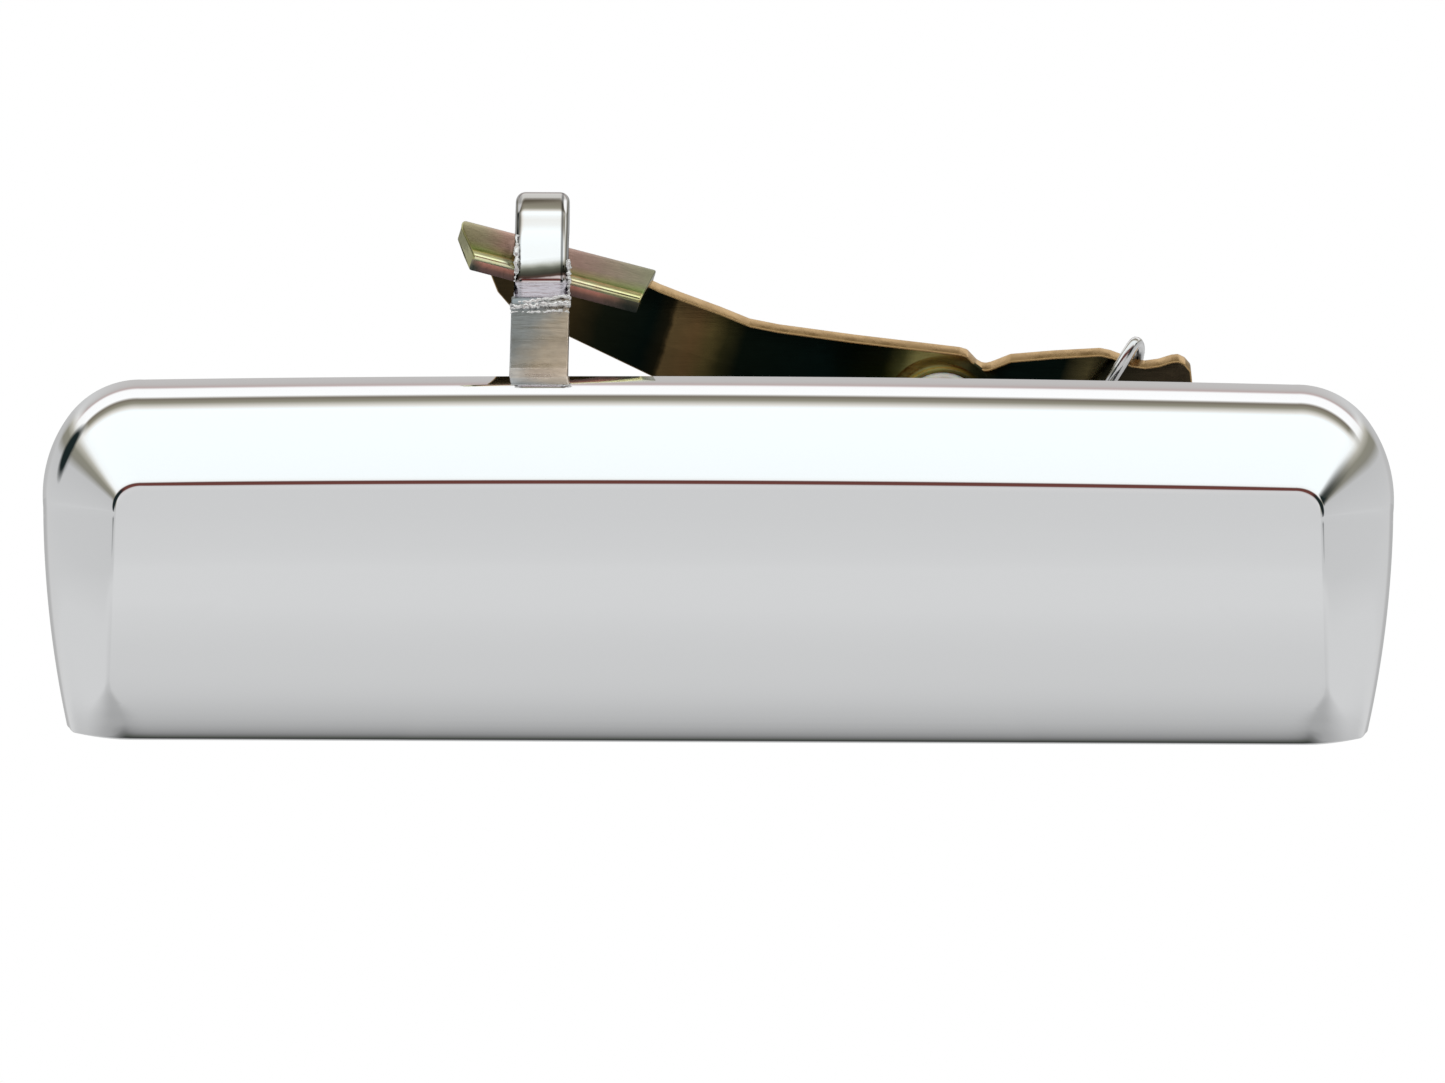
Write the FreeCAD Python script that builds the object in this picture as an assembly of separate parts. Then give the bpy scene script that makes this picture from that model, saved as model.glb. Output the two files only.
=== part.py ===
import FreeCAD, Part
import math
import os

# Outside door handle of a vehicle: a cast pull flap on a pin, whose finger presses a bell-crank lever.
# Axes: +X right, +Y into the door, +Z up. Origin: midway between the two studs, on the door skin.
# All sizes are millimetres.

V = FreeCAD.Vector

# Flap shell
HALF_WIDTH = 77.5
TOP_Z = 20.85
BOTTOM_Z = -20.95
BACK_Y = -2.5
WALL = 2.0
# Hinge
HINGE_Y = -5.5
HINGE_Z = 14.0
PIN_R = 2.0
RUN_GAP = 0.05
LUG_X0, LUG_X1 = 40.0, 44.0
EAR_X0, EAR_X1 = 45.0, 49.0
LUG_R = 4.0
EAR_R = 3.6
BUSH_R = 3.0
PIN_HALF = 52.0
# Base
BASE_FRONT = -4.7
BASE_BACK = -1.2
BAR_Z0, BAR_Z1 = -1.0, 9.0
STUD_X = 58.0
STUD_R = 3.0
SHOULDER_R = 4.2
STUD_END = 16.0
BUMP_X, BUMP_Z = 62.0, -9.5
SCREW_X = (19.0, 29.0)
SCREW_Z = 1.5
SCREW_R = 2.5
# Lever: leans forward, so its sheet is tilted from the vertical
LEAN = 30.0
PIVOT = V(26.3, 34.0, 18.0)
SHEET = 2.0
FLANGE_SLOPE = 16.2
FLANGE_REACH = 6.0
RIVET_R = 2.0
LEVER_BORE_R = 3.5
ROD_HOLE = (24.4, -1.2)
ROD_HOLE_R = 2.5
# Bracket that carries the lever
BRACKET_X0, BRACKET_X1 = 14.0, 33.4
BRACKET_SHEET = 2.0
WASHER = 1.2
# Springs
LEVER_WIRE_R = 0.7
LEVER_COIL_R = 2.6
FLAP_WIRE_R = 0.7
FLAP_COIL_R = 3.1

# Right side of the flap's front outline: arcs through each run of three points.
SIDE = [(66.0, 20.2), (70.8, 19.2), (74.7, 15.9), (76.75, 11.9), (HALF_WIDTH, 5.5), (76.95, -4.9),
        (75.0, -18.0), (74.35, -19.75), (72.4, -20.5)]


def box(x0, x1, y0, y1, z0, z1):
    return Part.makeBox(x1 - x0, y1 - y0, z1 - z0, V(x0, y0, z0))


def rod(start, direction, radius, length):
    return Part.makeCylinder(radius, length, start, direction)


def prism(points, sweep):
    wire = Part.makePolygon(points + [points[0]])
    return Part.Face(wire).extrude(sweep)


def prism_x(outline_yz, x0, x1):
    return prism([V(x0, y, z) for y, z in outline_yz], V(x1 - x0, 0, 0))


def mirrored(shape):
    return shape.mirror(V(0, 0, 0), V(1, 0, 0))


def both_sides(shape):
    return [shape, mirrored(shape)]


def fuse(shapes):
    return shapes[0].fuse(shapes[1:]).removeSplitter()


def soften(shape, radius, chosen):
    edges = [edge for edge in shape.Edges if chosen(edge)]
    return shape.makeFillet(radius, edges) if edges else shape


def save(node, shape):
    solids = shape.Solids
    if len(solids) != 1 or not shape.isValid():
        print("check", node, "solids", len(solids), "valid", shape.isValid())
    solids[0].exportStep("parts/" + node + ".step")


def moved_in(points, inset):
    # The same outline, pulled inwards along each point's normal.
    result = []
    for index, (a, b) in enumerate(points):
        before = points[max(index - 1, 0)]
        after = points[min(index + 1, len(points) - 1)]
        da, db = after[0] - before[0], after[1] - before[1]
        length = math.hypot(da, db)
        result.append((a + db / length * inset, b - da / length * inset))
    return result


def arcs(points):
    edges = []
    for index in range(0, len(points) - 2, 2):
        edges.append(Part.Arc(points[index], points[index + 1], points[index + 2]).toShape())
    return edges


def outline_prism(inset):
    # Front outline of the flap, extruded from back to front.
    right = [V(x, BACK_Y, z) for x, z in moved_in(SIDE, inset)]
    left = [V(-p.x, p.y, p.z) for p in reversed(right)]
    top_mid = V(0, BACK_Y, TOP_Z - inset)
    bottom_mid = V(0, BACK_Y, BOTTOM_Z + inset)
    ring = [left[-1], top_mid] + right + [bottom_mid] + left
    wire = Part.Wire(arcs(ring))
    return Part.Face(wire).extrude(V(0, -24, 0))


def section_prism(inset):
    # Side section of the flap: drafted top wall, rounding, bevel, main face and rolled-under bottom.
    outer = [(BACK_Y, TOP_Z + 0.02), (-8.0, 19.9), (-10.4, 19.1), (-12.2, 18.0), (-13.4, 16.8),
             (-19.3, 9.0), (-19.5, 8.2), (-19.85, 2.0), (-19.9, -4.0), (-19.5, -6.8), (-19.1, -9.5),
             (-18.3, -14.2), (-17.85, -16.5), (-17.2, -18.5), (-16.4, -20.1), (-15.0, -20.96)]
    line = outer
    if inset:
        line = [(BACK_Y, TOP_Z - 2.0), (-7.7, 17.9), (-9.6, 17.3), (-11.0, 16.4), (-12.0, 15.3),
                (-17.5, 8.2), (-17.6, 7.6), (-17.85, 2.0), (-17.9, -4.0), (-17.5, -6.8), (-17.1, -9.5),
                (-16.3, -14.2), (-15.9, -15.9), (-15.4, -17.3), (-14.6, -18.6), (-13.8, -18.97)]
    back = BACK_Y + (1.0 if inset else 0.0)
    closed = line + [(line[-1][0], -30.0), (back, -30.0)]
    if inset:
        closed += [(back, TOP_Z - 2.0)]
    return prism_x(closed, -90, 90)


def end_bevels():
    # The wedges that the two end bevels cut off the flap.
    wedge = [V(79.5, -6.4, -30), V(79.5, -25, -30), V(64.4, -25, -30)]
    return both_sides(prism(wedge, V(0, 0, 60)))


def envelope(inset):
    body = outline_prism(inset).common(section_prism(inset))
    wedges = end_bevels()
    for sign, wedge in zip((-1, 1), wedges):
        wedge.translate(V(sign * inset * 1.25, 0, 0))
        body = body.cut(wedge)
    return body


def finger_arm():
    # Arm that rises from the top wall of the flap, through the door's slot, to an upright ledge.
    side = [(-6.4, 19.3), (-3.4, 20.6), (0.0, 21.6), (4.6, 24.9), (9.2, 28.4), (11.2, 29.6),
            (11.5, 30.4), (11.5, 32.0), (15.9, 32.0), (15.6, 29.6), (12.6, 25.6), (7.0, 20.6),
            (1.0, 17.6), (-2.6, 17.2), (-6.4, 17.4)]
    return prism_x(side, -24.0, -17.4)


def finger_hook():
    # Finger above the ledge: it leans back over the lever's flange and ends in a rounded nose.
    side = [(11.5, 31.0), (11.6, 32.4), (12.5, 34.0), (13.6, 35.2), (17.6, 39.8), (19.2, 41.3),
            (21.0, 42.35), (22.8, 42.7), (24.2, 42.2), (24.9, 40.9), (24.6, 39.4), (23.6, 38.2),
            (22.2, 37.1), (20.8, 36.5), (19.4, 36.6), (18.2, 37.0), (17.1, 36.4), (16.3, 35.0),
            (16.0, 33.0), (15.9, 31.0)]
    return prism_x(side, -23.5, -17.6)


def hinge_lug():
    side = [(-5.5, 10.2), (-9.0, 11.5), (-16.0, 11.5), (-12.4, 16.2), (-9.8, 18.4), (-3.2, 19.6),
            (-1.7, 14.5)]
    barrel = rod(V(LUG_X0, HINGE_Y, HINGE_Z), V(1, 0, 0), LUG_R, LUG_X1 - LUG_X0)
    solid = barrel.fuse(prism_x(side, LUG_X0, LUG_X1)).removeSplitter()
    return solid.cut(rod(V(LUG_X0 - 1, HINGE_Y, HINGE_Z), V(1, 0, 0), BUSH_R, LUG_X1 - LUG_X0 + 2))


def bump_post():
    return rod(V(BUMP_X, -18.4, BUMP_Z), V(0, 1, 0), 3.0, 11.4)


def handle_flap():
    shell = envelope(0.0).cut(envelope(WALL))
    shell = shell.cut(box(-62, 62, -11.5, BACK_Y + 1, BOTTOM_Z - 1, BOTTOM_Z + 3.5))
    ledge = box(-1.0, 5.0, -18.6, -13.4, 6.0, 7.8)
    ribs = [box(x - 0.9, x + 0.9, -18.6, -12.6, 4.0, 9.4) for x in (-52.0, -30.0, 22.0, 52.0)]
    solid = shell
    groups = [both_sides(hinge_lug()), both_sides(bump_post()), [ledge], ribs]
    for group in groups + [[finger_arm()], [finger_hook()]]:
        solid = solid.fuse(group)
    return solid


def flap_bush():
    barrel = rod(V(LUG_X0, HINGE_Y, HINGE_Z), V(1, 0, 0), BUSH_R, LUG_X1 - LUG_X0)
    flange = rod(V(LUG_X1, HINGE_Y, HINGE_Z), V(1, 0, 0), 3.9, 0.9)
    bore = rod(V(LUG_X0 - 1, HINGE_Y, HINGE_Z), V(1, 0, 0), PIN_R + RUN_GAP, 8)
    return barrel.fuse(flange).cut(bore).removeSplitter()


def base_pad():
    pad = box(46.0, 70.0, BASE_FRONT, BASE_BACK, -15.0, 10.0)
    pad = soften(pad, 4.0, lambda e: abs(e.BoundBox.XMin - 70) < 0.1 and e.BoundBox.YLength > 3
                 or abs(e.BoundBox.ZMin + 15) < 0.1 and e.BoundBox.YLength > 3)
    rim = box(47.0, 49.0, -8.2, BASE_FRONT, -12.0, 9.0)
    return pad.fuse(rim)


def base_ear():
    ear = rod(V(EAR_X0, HINGE_Y, HINGE_Z), V(1, 0, 0), EAR_R, EAR_X1 - EAR_X0)
    return ear.fuse(box(EAR_X0, EAR_X1, HINGE_Y - EAR_R, HINGE_Y + EAR_R, 6.0, HINGE_Z))


def base_yoke():
    bar = box(-50, 50, BASE_FRONT, BASE_BACK, BAR_Z0, BAR_Z1)
    lip = box(-48, 48, -8.2, BASE_FRONT, BAR_Z0, BAR_Z0 + 2)
    post = box(14.8, 17.4, -4.4, -2.6, BAR_Z1 - 0.5, 11.6)
    bosses = [rod(V(x, -10.0, SCREW_Z), V(0, 1, 0), 4.4, 6.0) for x in SCREW_X]
    solid = fuse([bar, lip, post] + bosses + both_sides(base_pad()) + both_sides(base_ear()))
    cuts = [rod(V(-60, HINGE_Y, HINGE_Z), V(1, 0, 0), PIN_R, 120)]
    cuts += [rod(V(x, -9.0, SCREW_Z), V(0, 1, 0), SCREW_R, 10) for x in SCREW_X]
    for sign in (-1, 1):
        cuts.append(rod(V(sign * STUD_X, -6, 0), V(0, 1, 0), SHOULDER_R, 8))
        cuts.append(rod(V(sign * STUD_X, -6, 0), V(0, 1, 0), 5.4, 2.8))
        cuts.append(rod(V(sign * BUMP_X, -6, BUMP_Z), V(0, 1, 0), 1.8, 8))
    return solid.cut(cuts).removeSplitter()


def mounting_stud():
    head = rod(V(STUD_X, BASE_FRONT, 0), V(0, 1, 0), 5.4, 1.5)
    shoulder = rod(V(STUD_X, BASE_FRONT, 0), V(0, 1, 0), SHOULDER_R, -BASE_FRONT)
    shank = rod(V(STUD_X, -1.0, 0), V(0, 1, 0), STUD_R, STUD_END + 1.0)
    stud = fuse([head, shoulder, shank])
    tip = [e for e in stud.Edges if abs(e.BoundBox.YMin - STUD_END) < 0.01]
    return stud.makeChamfer(0.6, tip)


def gasket():
    pad = box(50.5, 69.0, BASE_BACK, 0.0, -14.0, 9.0)
    pad = soften(pad, 3.5, lambda e: e.BoundBox.YLength > 1.1)
    return pad.cut([rod(V(STUD_X, -2, 0), V(0, 1, 0), SHOULDER_R, 3)])


def hinge_pin():
    shank = rod(V(-PIN_HALF, HINGE_Y, HINGE_Z), V(1, 0, 0), PIN_R, 2 * PIN_HALF)
    grooves = []
    for x in (-50.4, 49.4):
        ring = rod(V(x, HINGE_Y, HINGE_Z), V(1, 0, 0), PIN_R + 1, 1.0)
        grooves.append(ring.cut(rod(V(x, HINGE_Y, HINGE_Z), V(1, 0, 0), 1.5, 1.0)))
    return shank.cut(grooves)


def pin_clip():
    # Open ring that snaps into the pin's groove.
    start = V(49.45, HINGE_Y, HINGE_Z)
    ring = rod(start, V(1, 0, 0), 3.4, 0.9).cut(rod(start, V(1, 0, 0), 1.5, 0.9))
    mouth = box(49.0, 51.0, HINGE_Y - 0.9, HINGE_Y + 0.9, HINGE_Z - 5, HINGE_Z)
    relief = [rod(V(49.45, HINGE_Y + s * 1.9, HINGE_Z + 1.0), V(1, 0, 0), 0.55, 0.9) for s in (-1, 1)]
    return ring.cut([mouth] + relief)


def bump_stop():
    head = rod(V(BUMP_X, -6.95, BUMP_Z), V(0, 1, 0), 3.6, 2.25)
    head = soften(head, 0.7, lambda e: abs(e.BoundBox.YMax + 6.95) < 0.01)
    return head.fuse(rod(V(BUMP_X, BASE_FRONT, BUMP_Z), V(0, 1, 0), 1.8, 3.5)).removeSplitter()


def sweep_wire(points, radius):
    curve = Part.BSplineCurve()
    curve.interpolate(points)
    path = Part.Wire([curve.toShape()])
    tangent = curve.tangent(curve.FirstParameter)[0]
    ring = Part.Wire([Part.makeCircle(radius, points[0], tangent)])
    return path.makePipeShell([ring], True, True)


def flap_spring():
    # Torsion spring round the hinge pin: one leg on the flap's ledge, the other behind the base's post.
    points = [V(1.0, -15.4, 8.7), V(1.6, -12.2, 9.6)]
    turns, steps, pitch = 6, 14, 1.7
    start = math.radians(200)
    for index in range(turns * steps + 5):
        angle = start - 2 * math.pi * index / steps
        x = 2.6 + pitch * index / steps
        y = HINGE_Y + FLAP_COIL_R * math.cos(angle)
        z = HINGE_Z + FLAP_COIL_R * math.sin(angle)
        points.append(V(x, y, z))
    points += [V(14.8, -1.7, 12.4), V(16.2, -1.75, 10.2)]
    return sweep_wire(points, FLAP_WIRE_R)


def lever_frame():
    # Local axes of the lever: x along the row's X, y up the sheet, z out of its front face.
    return FreeCAD.Placement(PIVOT, FreeCAD.Rotation(V(1, 0, 0), 90 + LEAN))


def to_row(shape):
    result = shape.copy()
    result.Placement = lever_frame().multiply(result.Placement)
    return result


def lever_outline():
    upper = [(-33.3, 15.2), (-30.8, 14.3), (-26.2, 12.3), (-22.7, 10.6), (-19.3, 9.85), (-10.3, 8.5),
             (2.4, 6.8), (3.6, 5.8), (4.4, 5.05), (5.1, 4.8), (5.9, 5.05), (8.0, 6.0), (13.0, 6.5),
             (18.5, 6.87), (19.7, 6.6), (20.8, 6.15), (22.2, 5.45), (23.8, 5.2), (25.4, 5.45),
             (26.9, 6.0), (27.7, 6.1), (28.5, 5.66), (29.2, 4.75), (29.45, 2.6)]
    lower = [(29.2, -2.4), (27.6, -5.0), (24.4, -6.2), (18.0, -6.8), (9.8, -7.4), (6.6, -8.7),
             (2.4, -9.7), (-2.4, -9.7), (-6.6, -8.9), (-9.8, -7.6), (-16.0, -5.2),
             (-34.4, 3.85), (-43.7, 8.9), (-50.7, 12.9), (-52.3, 15.0), (-53.1, 17.3), (-54.4, 21.6)]
    return upper + lower


def lever_flange():
    # Flange bent forward from the sloping top edge; the flap's finger presses on it.
    outline = [(-1.6, -SHEET), (22.0, -SHEET), (20.7, FLANGE_REACH), (0.1, FLANGE_REACH)]
    points = [V(x, 0, z) for x, z in outline]
    flange = prism(points, V(0, -SHEET, 0))
    flange = soften(flange, 0.8, lambda e: abs(e.BoundBox.ZMin + SHEET) < 0.01
                    and e.BoundBox.XLength > 20 and abs(e.BoundBox.YMax) < 0.01)
    flange.Placement = FreeCAD.Placement(V(-55.0, 23.4, 0), FreeCAD.Rotation(V(0, 0, 1), -FLANGE_SLOPE))
    return flange


def lever_plate():
    points = [V(x, y, -SHEET) for x, y in lever_outline()]
    web = prism(points, V(0, 0, SHEET))
    link = prism([V(-54.2, 19.6, -SHEET), V(-54.2, 21.6, -SHEET), V(-34.2, 15.8, -SHEET),
                  V(-34.2, 13.0, -SHEET)], V(0, 0, SHEET))
    ring = rod(V(0, 0, 0), V(0, 0, 1), 6.4, 0.5).cut(rod(V(0, 0, 0), V(0, 0, 1), 4.9, 0.5))
    plate = web.fuse([link, lever_flange(), ring])
    holes = [rod(V(0, 0, -3), V(0, 0, 1), LEVER_BORE_R, 5),
             rod(V(ROD_HOLE[0], ROD_HOLE[1], -3), V(0, 0, 1), ROD_HOLE_R, 5)]
    return to_row(plate.cut(holes).removeSplitter())


def lever_bush():
    barrel = rod(V(0, 0, -SHEET), V(0, 0, 1), LEVER_BORE_R, SHEET)
    flange = rod(V(0, 0, 0), V(0, 0, 1), 4.6, 1.0)
    bore = rod(V(0, 0, -4), V(0, 0, 1), RIVET_R + RUN_GAP, 8)
    return to_row(barrel.fuse(flange).cut(bore).removeSplitter())


def pivot_rivet():
    back = -SHEET - WASHER - 0.05 - BRACKET_SHEET
    shank = rod(V(0, 0, back - 1.2), V(0, 0, 1), RIVET_R, 1.05 - back + 1.2)
    head = rod(V(0, 0, 1.05), V(0, 0, 1), 3.8, 1.4)
    head = soften(head, 0.9, lambda e: abs(e.BoundBox.ZMin - 2.45) < 0.01)
    tail = rod(V(0, 0, back - 1.3), V(0, 0, 1), 3.3, 1.3)
    return to_row(fuse([shank, head, tail]))


def pivot_washer():
    low = -SHEET - WASHER - 0.05
    ring = rod(V(0, 0, low), V(0, 0, 1), 6.0, WASHER)
    return to_row(ring.cut(rod(V(0, 0, low), V(0, 0, 1), RIVET_R, WASHER)))


def sheet_strip(corners, bend, thickness):
    # Side section of bent sheet: straight runs joined by bends, offset half a thickness each way.
    def side_points(offset):
        result = []
        for index, (y, z) in enumerate(corners):
            if index in (0, len(corners) - 1):
                other = corners[1] if index == 0 else corners[-2]
                dy, dz = (other[0] - y, other[1] - z) if index == 0 else (y - other[0], z - other[1])
                size = math.hypot(dy, dz)
                result.append((y - dz / size * offset, z + dy / size * offset))
                continue
            result += bend_points(corners[index - 1], (y, z), corners[index + 1], bend, offset)
        return result

    return side_points(thickness / 2) + side_points(-thickness / 2)[::-1]


def bend_points(before, corner, after, bend, offset):
    a = math.atan2(corner[1] - before[1], corner[0] - before[0])
    b = math.atan2(after[1] - corner[1], after[0] - corner[0])
    turn = (b - a + math.pi) % (2 * math.pi) - math.pi
    run = bend * math.tan(abs(turn) / 2)
    side = 1 if turn > 0 else -1
    start = (corner[0] - run * math.cos(a), corner[1] - run * math.sin(a))
    centre = (start[0] - side * bend * math.sin(a), start[1] + side * bend * math.cos(a))
    radius = bend - side * offset
    result = []
    for step in range(9):
        angle = a + turn * step / 8
        result.append((centre[0] + side * radius * math.sin(angle), centre[1] - side * radius * math.cos(angle)))
    return result


def lever_bracket():
    lean = math.radians(LEAN)
    depth = SHEET + WASHER + 0.05 + BRACKET_SHEET / 2
    origin_y = PIVOT.y + depth * math.cos(lean)
    origin_z = PIVOT.z + depth * math.sin(lean)
    arm_z = 8.0
    down = (arm_z - origin_z) / math.cos(lean)
    top = 5.2
    corners = [(BASE_BACK + 1.0, -3.0), (BASE_BACK + 1.0, arm_z),
               (origin_y - down * math.sin(lean), arm_z),
               (origin_y - top * math.sin(lean), origin_z + top * math.cos(lean))]
    section = sheet_strip(corners, 3.0, BRACKET_SHEET)
    strip = prism_x(section, BRACKET_X0, BRACKET_X1)
    ear = [(22.0, 8.6), (36.0, 8.6), (34.0, 3.5), (32.0, -1.6), (30.6, -3.0), (27.4, -3.0), (25.6, -1.0)]
    solid = strip.fuse(prism_x(ear, BRACKET_X1 - 2.0, BRACKET_X1))
    hole = to_row(rod(V(0, 0, -9), V(0, 0, 1), RIVET_R, 12))
    cuts = [hole, rod(V(30, 29.0, 0.0), V(1, 0, 0), 1.8, 8)]
    cuts += [rod(V(x, -3, SCREW_Z), V(0, 1, 0), SCREW_R + 0.2, 6) for x in SCREW_X]
    cuts.append(box(20.5, 27.5, 11.0, 24.0, 5.0, 10.0))
    solid = solid.cut(cuts).removeSplitter()
    crown = rod(V(-2.3, -5, -14), V(0, 0, 1), 10.0, 20)
    above = Part.makeBox(60, 30, 20, V(-30, -5, -14))
    return solid.cut(to_row(above.cut(crown)))


def bracket_screw(x):
    y = BASE_BACK + BRACKET_SHEET + 1.0
    head = rod(V(x, y, SCREW_Z), V(0, 1, 0), 3.8, 3.2)
    head = soften(head, 0.8, lambda e: abs(e.BoundBox.YMin - y - 3.2) < 0.01)
    shank = rod(V(x, -8.6, SCREW_Z), V(0, 1, 0), SCREW_R, y + 8.6)
    socket = Part.makePolygon([V(x + 2.3 * math.cos(math.radians(60 * k)), y + 1.4,
                                 SCREW_Z + 2.3 * math.sin(math.radians(60 * k))) for k in range(7)])
    return head.fuse(shank).cut(Part.Face(socket).extrude(V(0, 3, 0))).removeSplitter()


def lock_washer(x):
    y = BASE_BACK + BRACKET_SHEET
    ring = rod(V(x, y, SCREW_Z), V(0, 1, 0), 3.5, 1.0).cut(rod(V(x, y, SCREW_Z), V(0, 1, 0), SCREW_R, 1.0))
    return ring.cut(box(x - 0.25, x + 0.25, y - 1, y + 2, SCREW_Z + 1, SCREW_Z + 6))


def lever_spring():
    # Extension spring from the bracket's ear to the notch in the lever's top edge.
    frame = lever_frame()
    low = V(33.0, 29.0, 0.3)
    high = frame.multVec(V(17.5, -2.0, 4.8))
    along = (high - low).normalize()
    across = along.cross(V(0, 1, 0)).normalize()
    third = along.cross(across)
    points = [V(30.7, 28.6, 1.9), V(30.9, 28.8, 0.5), V(32.6, 29.1, -0.2), V(35.2, 29.2, -0.1)]
    turns, steps, pitch = 7.5, 12, 1.52
    first = low + along * 5.2
    for index in range(int(turns * steps) + 1):
        angle = math.pi + 2 * math.pi * index / steps
        offset = across * (LEVER_COIL_R * math.cos(angle)) + third * (LEVER_COIL_R * math.sin(angle))
        points.append(first + along * (pitch * index / steps) + offset)
    hook = [(17.5, 1.6, 3.9), (19.84, 5.3, 2.8), (21.0, 6.9, 1.9), (21.9, 7.95, 0.8), (22.65, 8.25, -0.6),
            (23.1, 6.2, -2.9), (22.9, 4.2, -3.4), (22.6, 2.4, -3.2)]
    points += [frame.multVec(V(*p)) for p in hook]
    return sweep_wire(points, LEVER_WIRE_R)


def main():
    os.makedirs("parts", exist_ok=True)
    save("handle_flap", handle_flap())
    save("base_yoke", base_yoke())
    save("hinge_pin", hinge_pin())
    save("flap_spring", flap_spring())
    save("lever_bracket", lever_bracket())
    save("pivot_rivet", pivot_rivet())
    save("pivot_washer", pivot_washer())
    save("lever_spring", lever_spring())
    save("lever_plate", lever_plate())
    save("lever_bush", lever_bush())
    pairs = {"mounting_stud": mounting_stud, "gasket": gasket, "pin_clip": pin_clip,
             "bump_stop": bump_stop, "flap_bush": flap_bush}
    for name, make in pairs.items():
        right = make()
        save(name + "_right", right)
        save(name + "_left", mirrored(right))
    for side, x in zip(("left", "right"), SCREW_X):
        save("bracket_screw_" + side, bracket_screw(x))
        save("lock_washer_" + side, lock_washer(x))


main()
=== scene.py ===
import random
from contextlib import contextmanager
from math import atan2, copysign, cos, hypot, pi, radians, sin, sqrt, tan

import bmesh
import bpy
from mathutils import Matrix, Vector


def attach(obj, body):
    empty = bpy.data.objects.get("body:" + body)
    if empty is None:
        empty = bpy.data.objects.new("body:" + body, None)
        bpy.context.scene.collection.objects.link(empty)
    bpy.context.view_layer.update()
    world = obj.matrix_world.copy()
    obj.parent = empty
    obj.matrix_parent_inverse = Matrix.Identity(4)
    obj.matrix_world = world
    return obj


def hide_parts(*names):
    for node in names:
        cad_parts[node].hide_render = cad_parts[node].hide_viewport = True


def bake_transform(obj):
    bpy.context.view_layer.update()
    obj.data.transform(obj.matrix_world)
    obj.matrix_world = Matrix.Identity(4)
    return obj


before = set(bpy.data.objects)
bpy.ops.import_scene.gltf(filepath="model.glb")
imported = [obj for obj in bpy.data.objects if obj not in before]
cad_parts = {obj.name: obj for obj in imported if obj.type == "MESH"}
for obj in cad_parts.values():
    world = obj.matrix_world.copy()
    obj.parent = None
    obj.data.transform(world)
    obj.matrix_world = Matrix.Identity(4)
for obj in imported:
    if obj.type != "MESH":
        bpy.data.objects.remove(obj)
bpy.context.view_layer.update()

MM = 0.001
WELD = 0.002 * MM
METAL_RELIEF = 0.2 * MM
FINE_RELIEF = 0.1 * MM
random.seed(7)

# --- materials ---


def plug(node, inputs):
    """Fills a shader node's inputs, by name or number, with numbers, vectors, colours or other outputs."""
    for key, value in inputs.items():
        socket = node.inputs[key]
        if isinstance(value, bpy.types.NodeSocket):
            node.id_data.links.new(value, socket)
        elif socket.type == "RGBA":
            socket.default_value = (*value, 1)
        else:
            socket.default_value = value


def add(tree, kind, inputs, **settings):
    """New shader node with these inputs and settings."""
    node = tree.nodes.new("ShaderNode" + kind)
    for name, value in settings.items():
        setattr(node, name, value)
    plug(node, inputs)
    return node


def new_material(name):
    """Material, its node tree and its shader."""
    material = bpy.data.materials.new(name)
    material.use_nodes = True
    return material, material.node_tree, material.node_tree.nodes["Principled BSDF"]


def coords(tree, scale=(1000, 1000, 1000)):
    """Object-space position in millimetres, stretched by scale/1000."""
    source = add(tree, "TexCoord", {}).outputs["Object"]
    return add(tree, "Mapping", {"Vector": source, "Scale": scale}).outputs["Vector"]


def noise(tree, vector, scale, detail=3, roughness=0.5):
    """Cloudy value from 0 to 1."""
    inputs = {"Vector": vector, "Scale": scale, "Detail": detail, "Roughness": roughness}
    return add(tree, "TexNoise", inputs).outputs["Fac"]


def ramp(tree, value, stops):
    """Colour read from (position, colour) stops, where a single number stands for a grey."""
    node = add(tree, "ValToRGB", {"Fac": value})
    elements = node.color_ramp.elements
    while len(elements) < len(stops):
        elements.new(0.5)
    for element, (position, colour) in zip(elements, stops):
        element.position = position
        element.color = (*colour, 1) if isinstance(colour, tuple) else (colour, colour, colour, 1)
    return node.outputs["Color"]


def mix(tree, factor, a, b, blend="MIX"):
    """Colour a where factor is 0, colour b where it is 1."""
    return add(tree, "Mix", {0: factor, 6: a, 7: b}, data_type="RGBA", blend_type=blend).outputs[2]


def dot(tree, vector, direction):
    return add(tree, "VectorMath", {0: vector, 1: direction}, operation="DOT_PRODUCT").outputs["Value"]


def maths(tree, operation, *values):
    return add(tree, "Math", dict(enumerate(values)), operation=operation).outputs[0]


def relief(tree, height, strength, distance, shader):
    """Surface relief; distance is its height in metres."""
    node = add(tree, "Bump", {"Height": height, "Strength": strength, "Distance": distance})
    plug(shader, {"Normal": node.outputs["Normal"]})


def metal(name, colour, rough, spread=0.05, grain=0.6, bumpiness=0,
          stretch=(1000, 1000, 1000), bump_scale=1.5, metallic=1):
    """Metal with a mottled roughness and, if asked, a fine surface relief."""
    material, tree, shader = new_material(name)
    vector = coords(tree, stretch)
    stops = [(0.3, max(rough - spread, 0)), (0.7, rough + spread)]
    dull = ramp(tree, noise(tree, vector, grain, 4), stops)
    plug(shader, {"Metallic": metallic, "Base Color": colour, "Roughness": dull})
    if bumpiness:
        relief(tree, noise(tree, vector, bump_scale, 5), bumpiness, METAL_RELIEF, shader)
    return material


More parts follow.
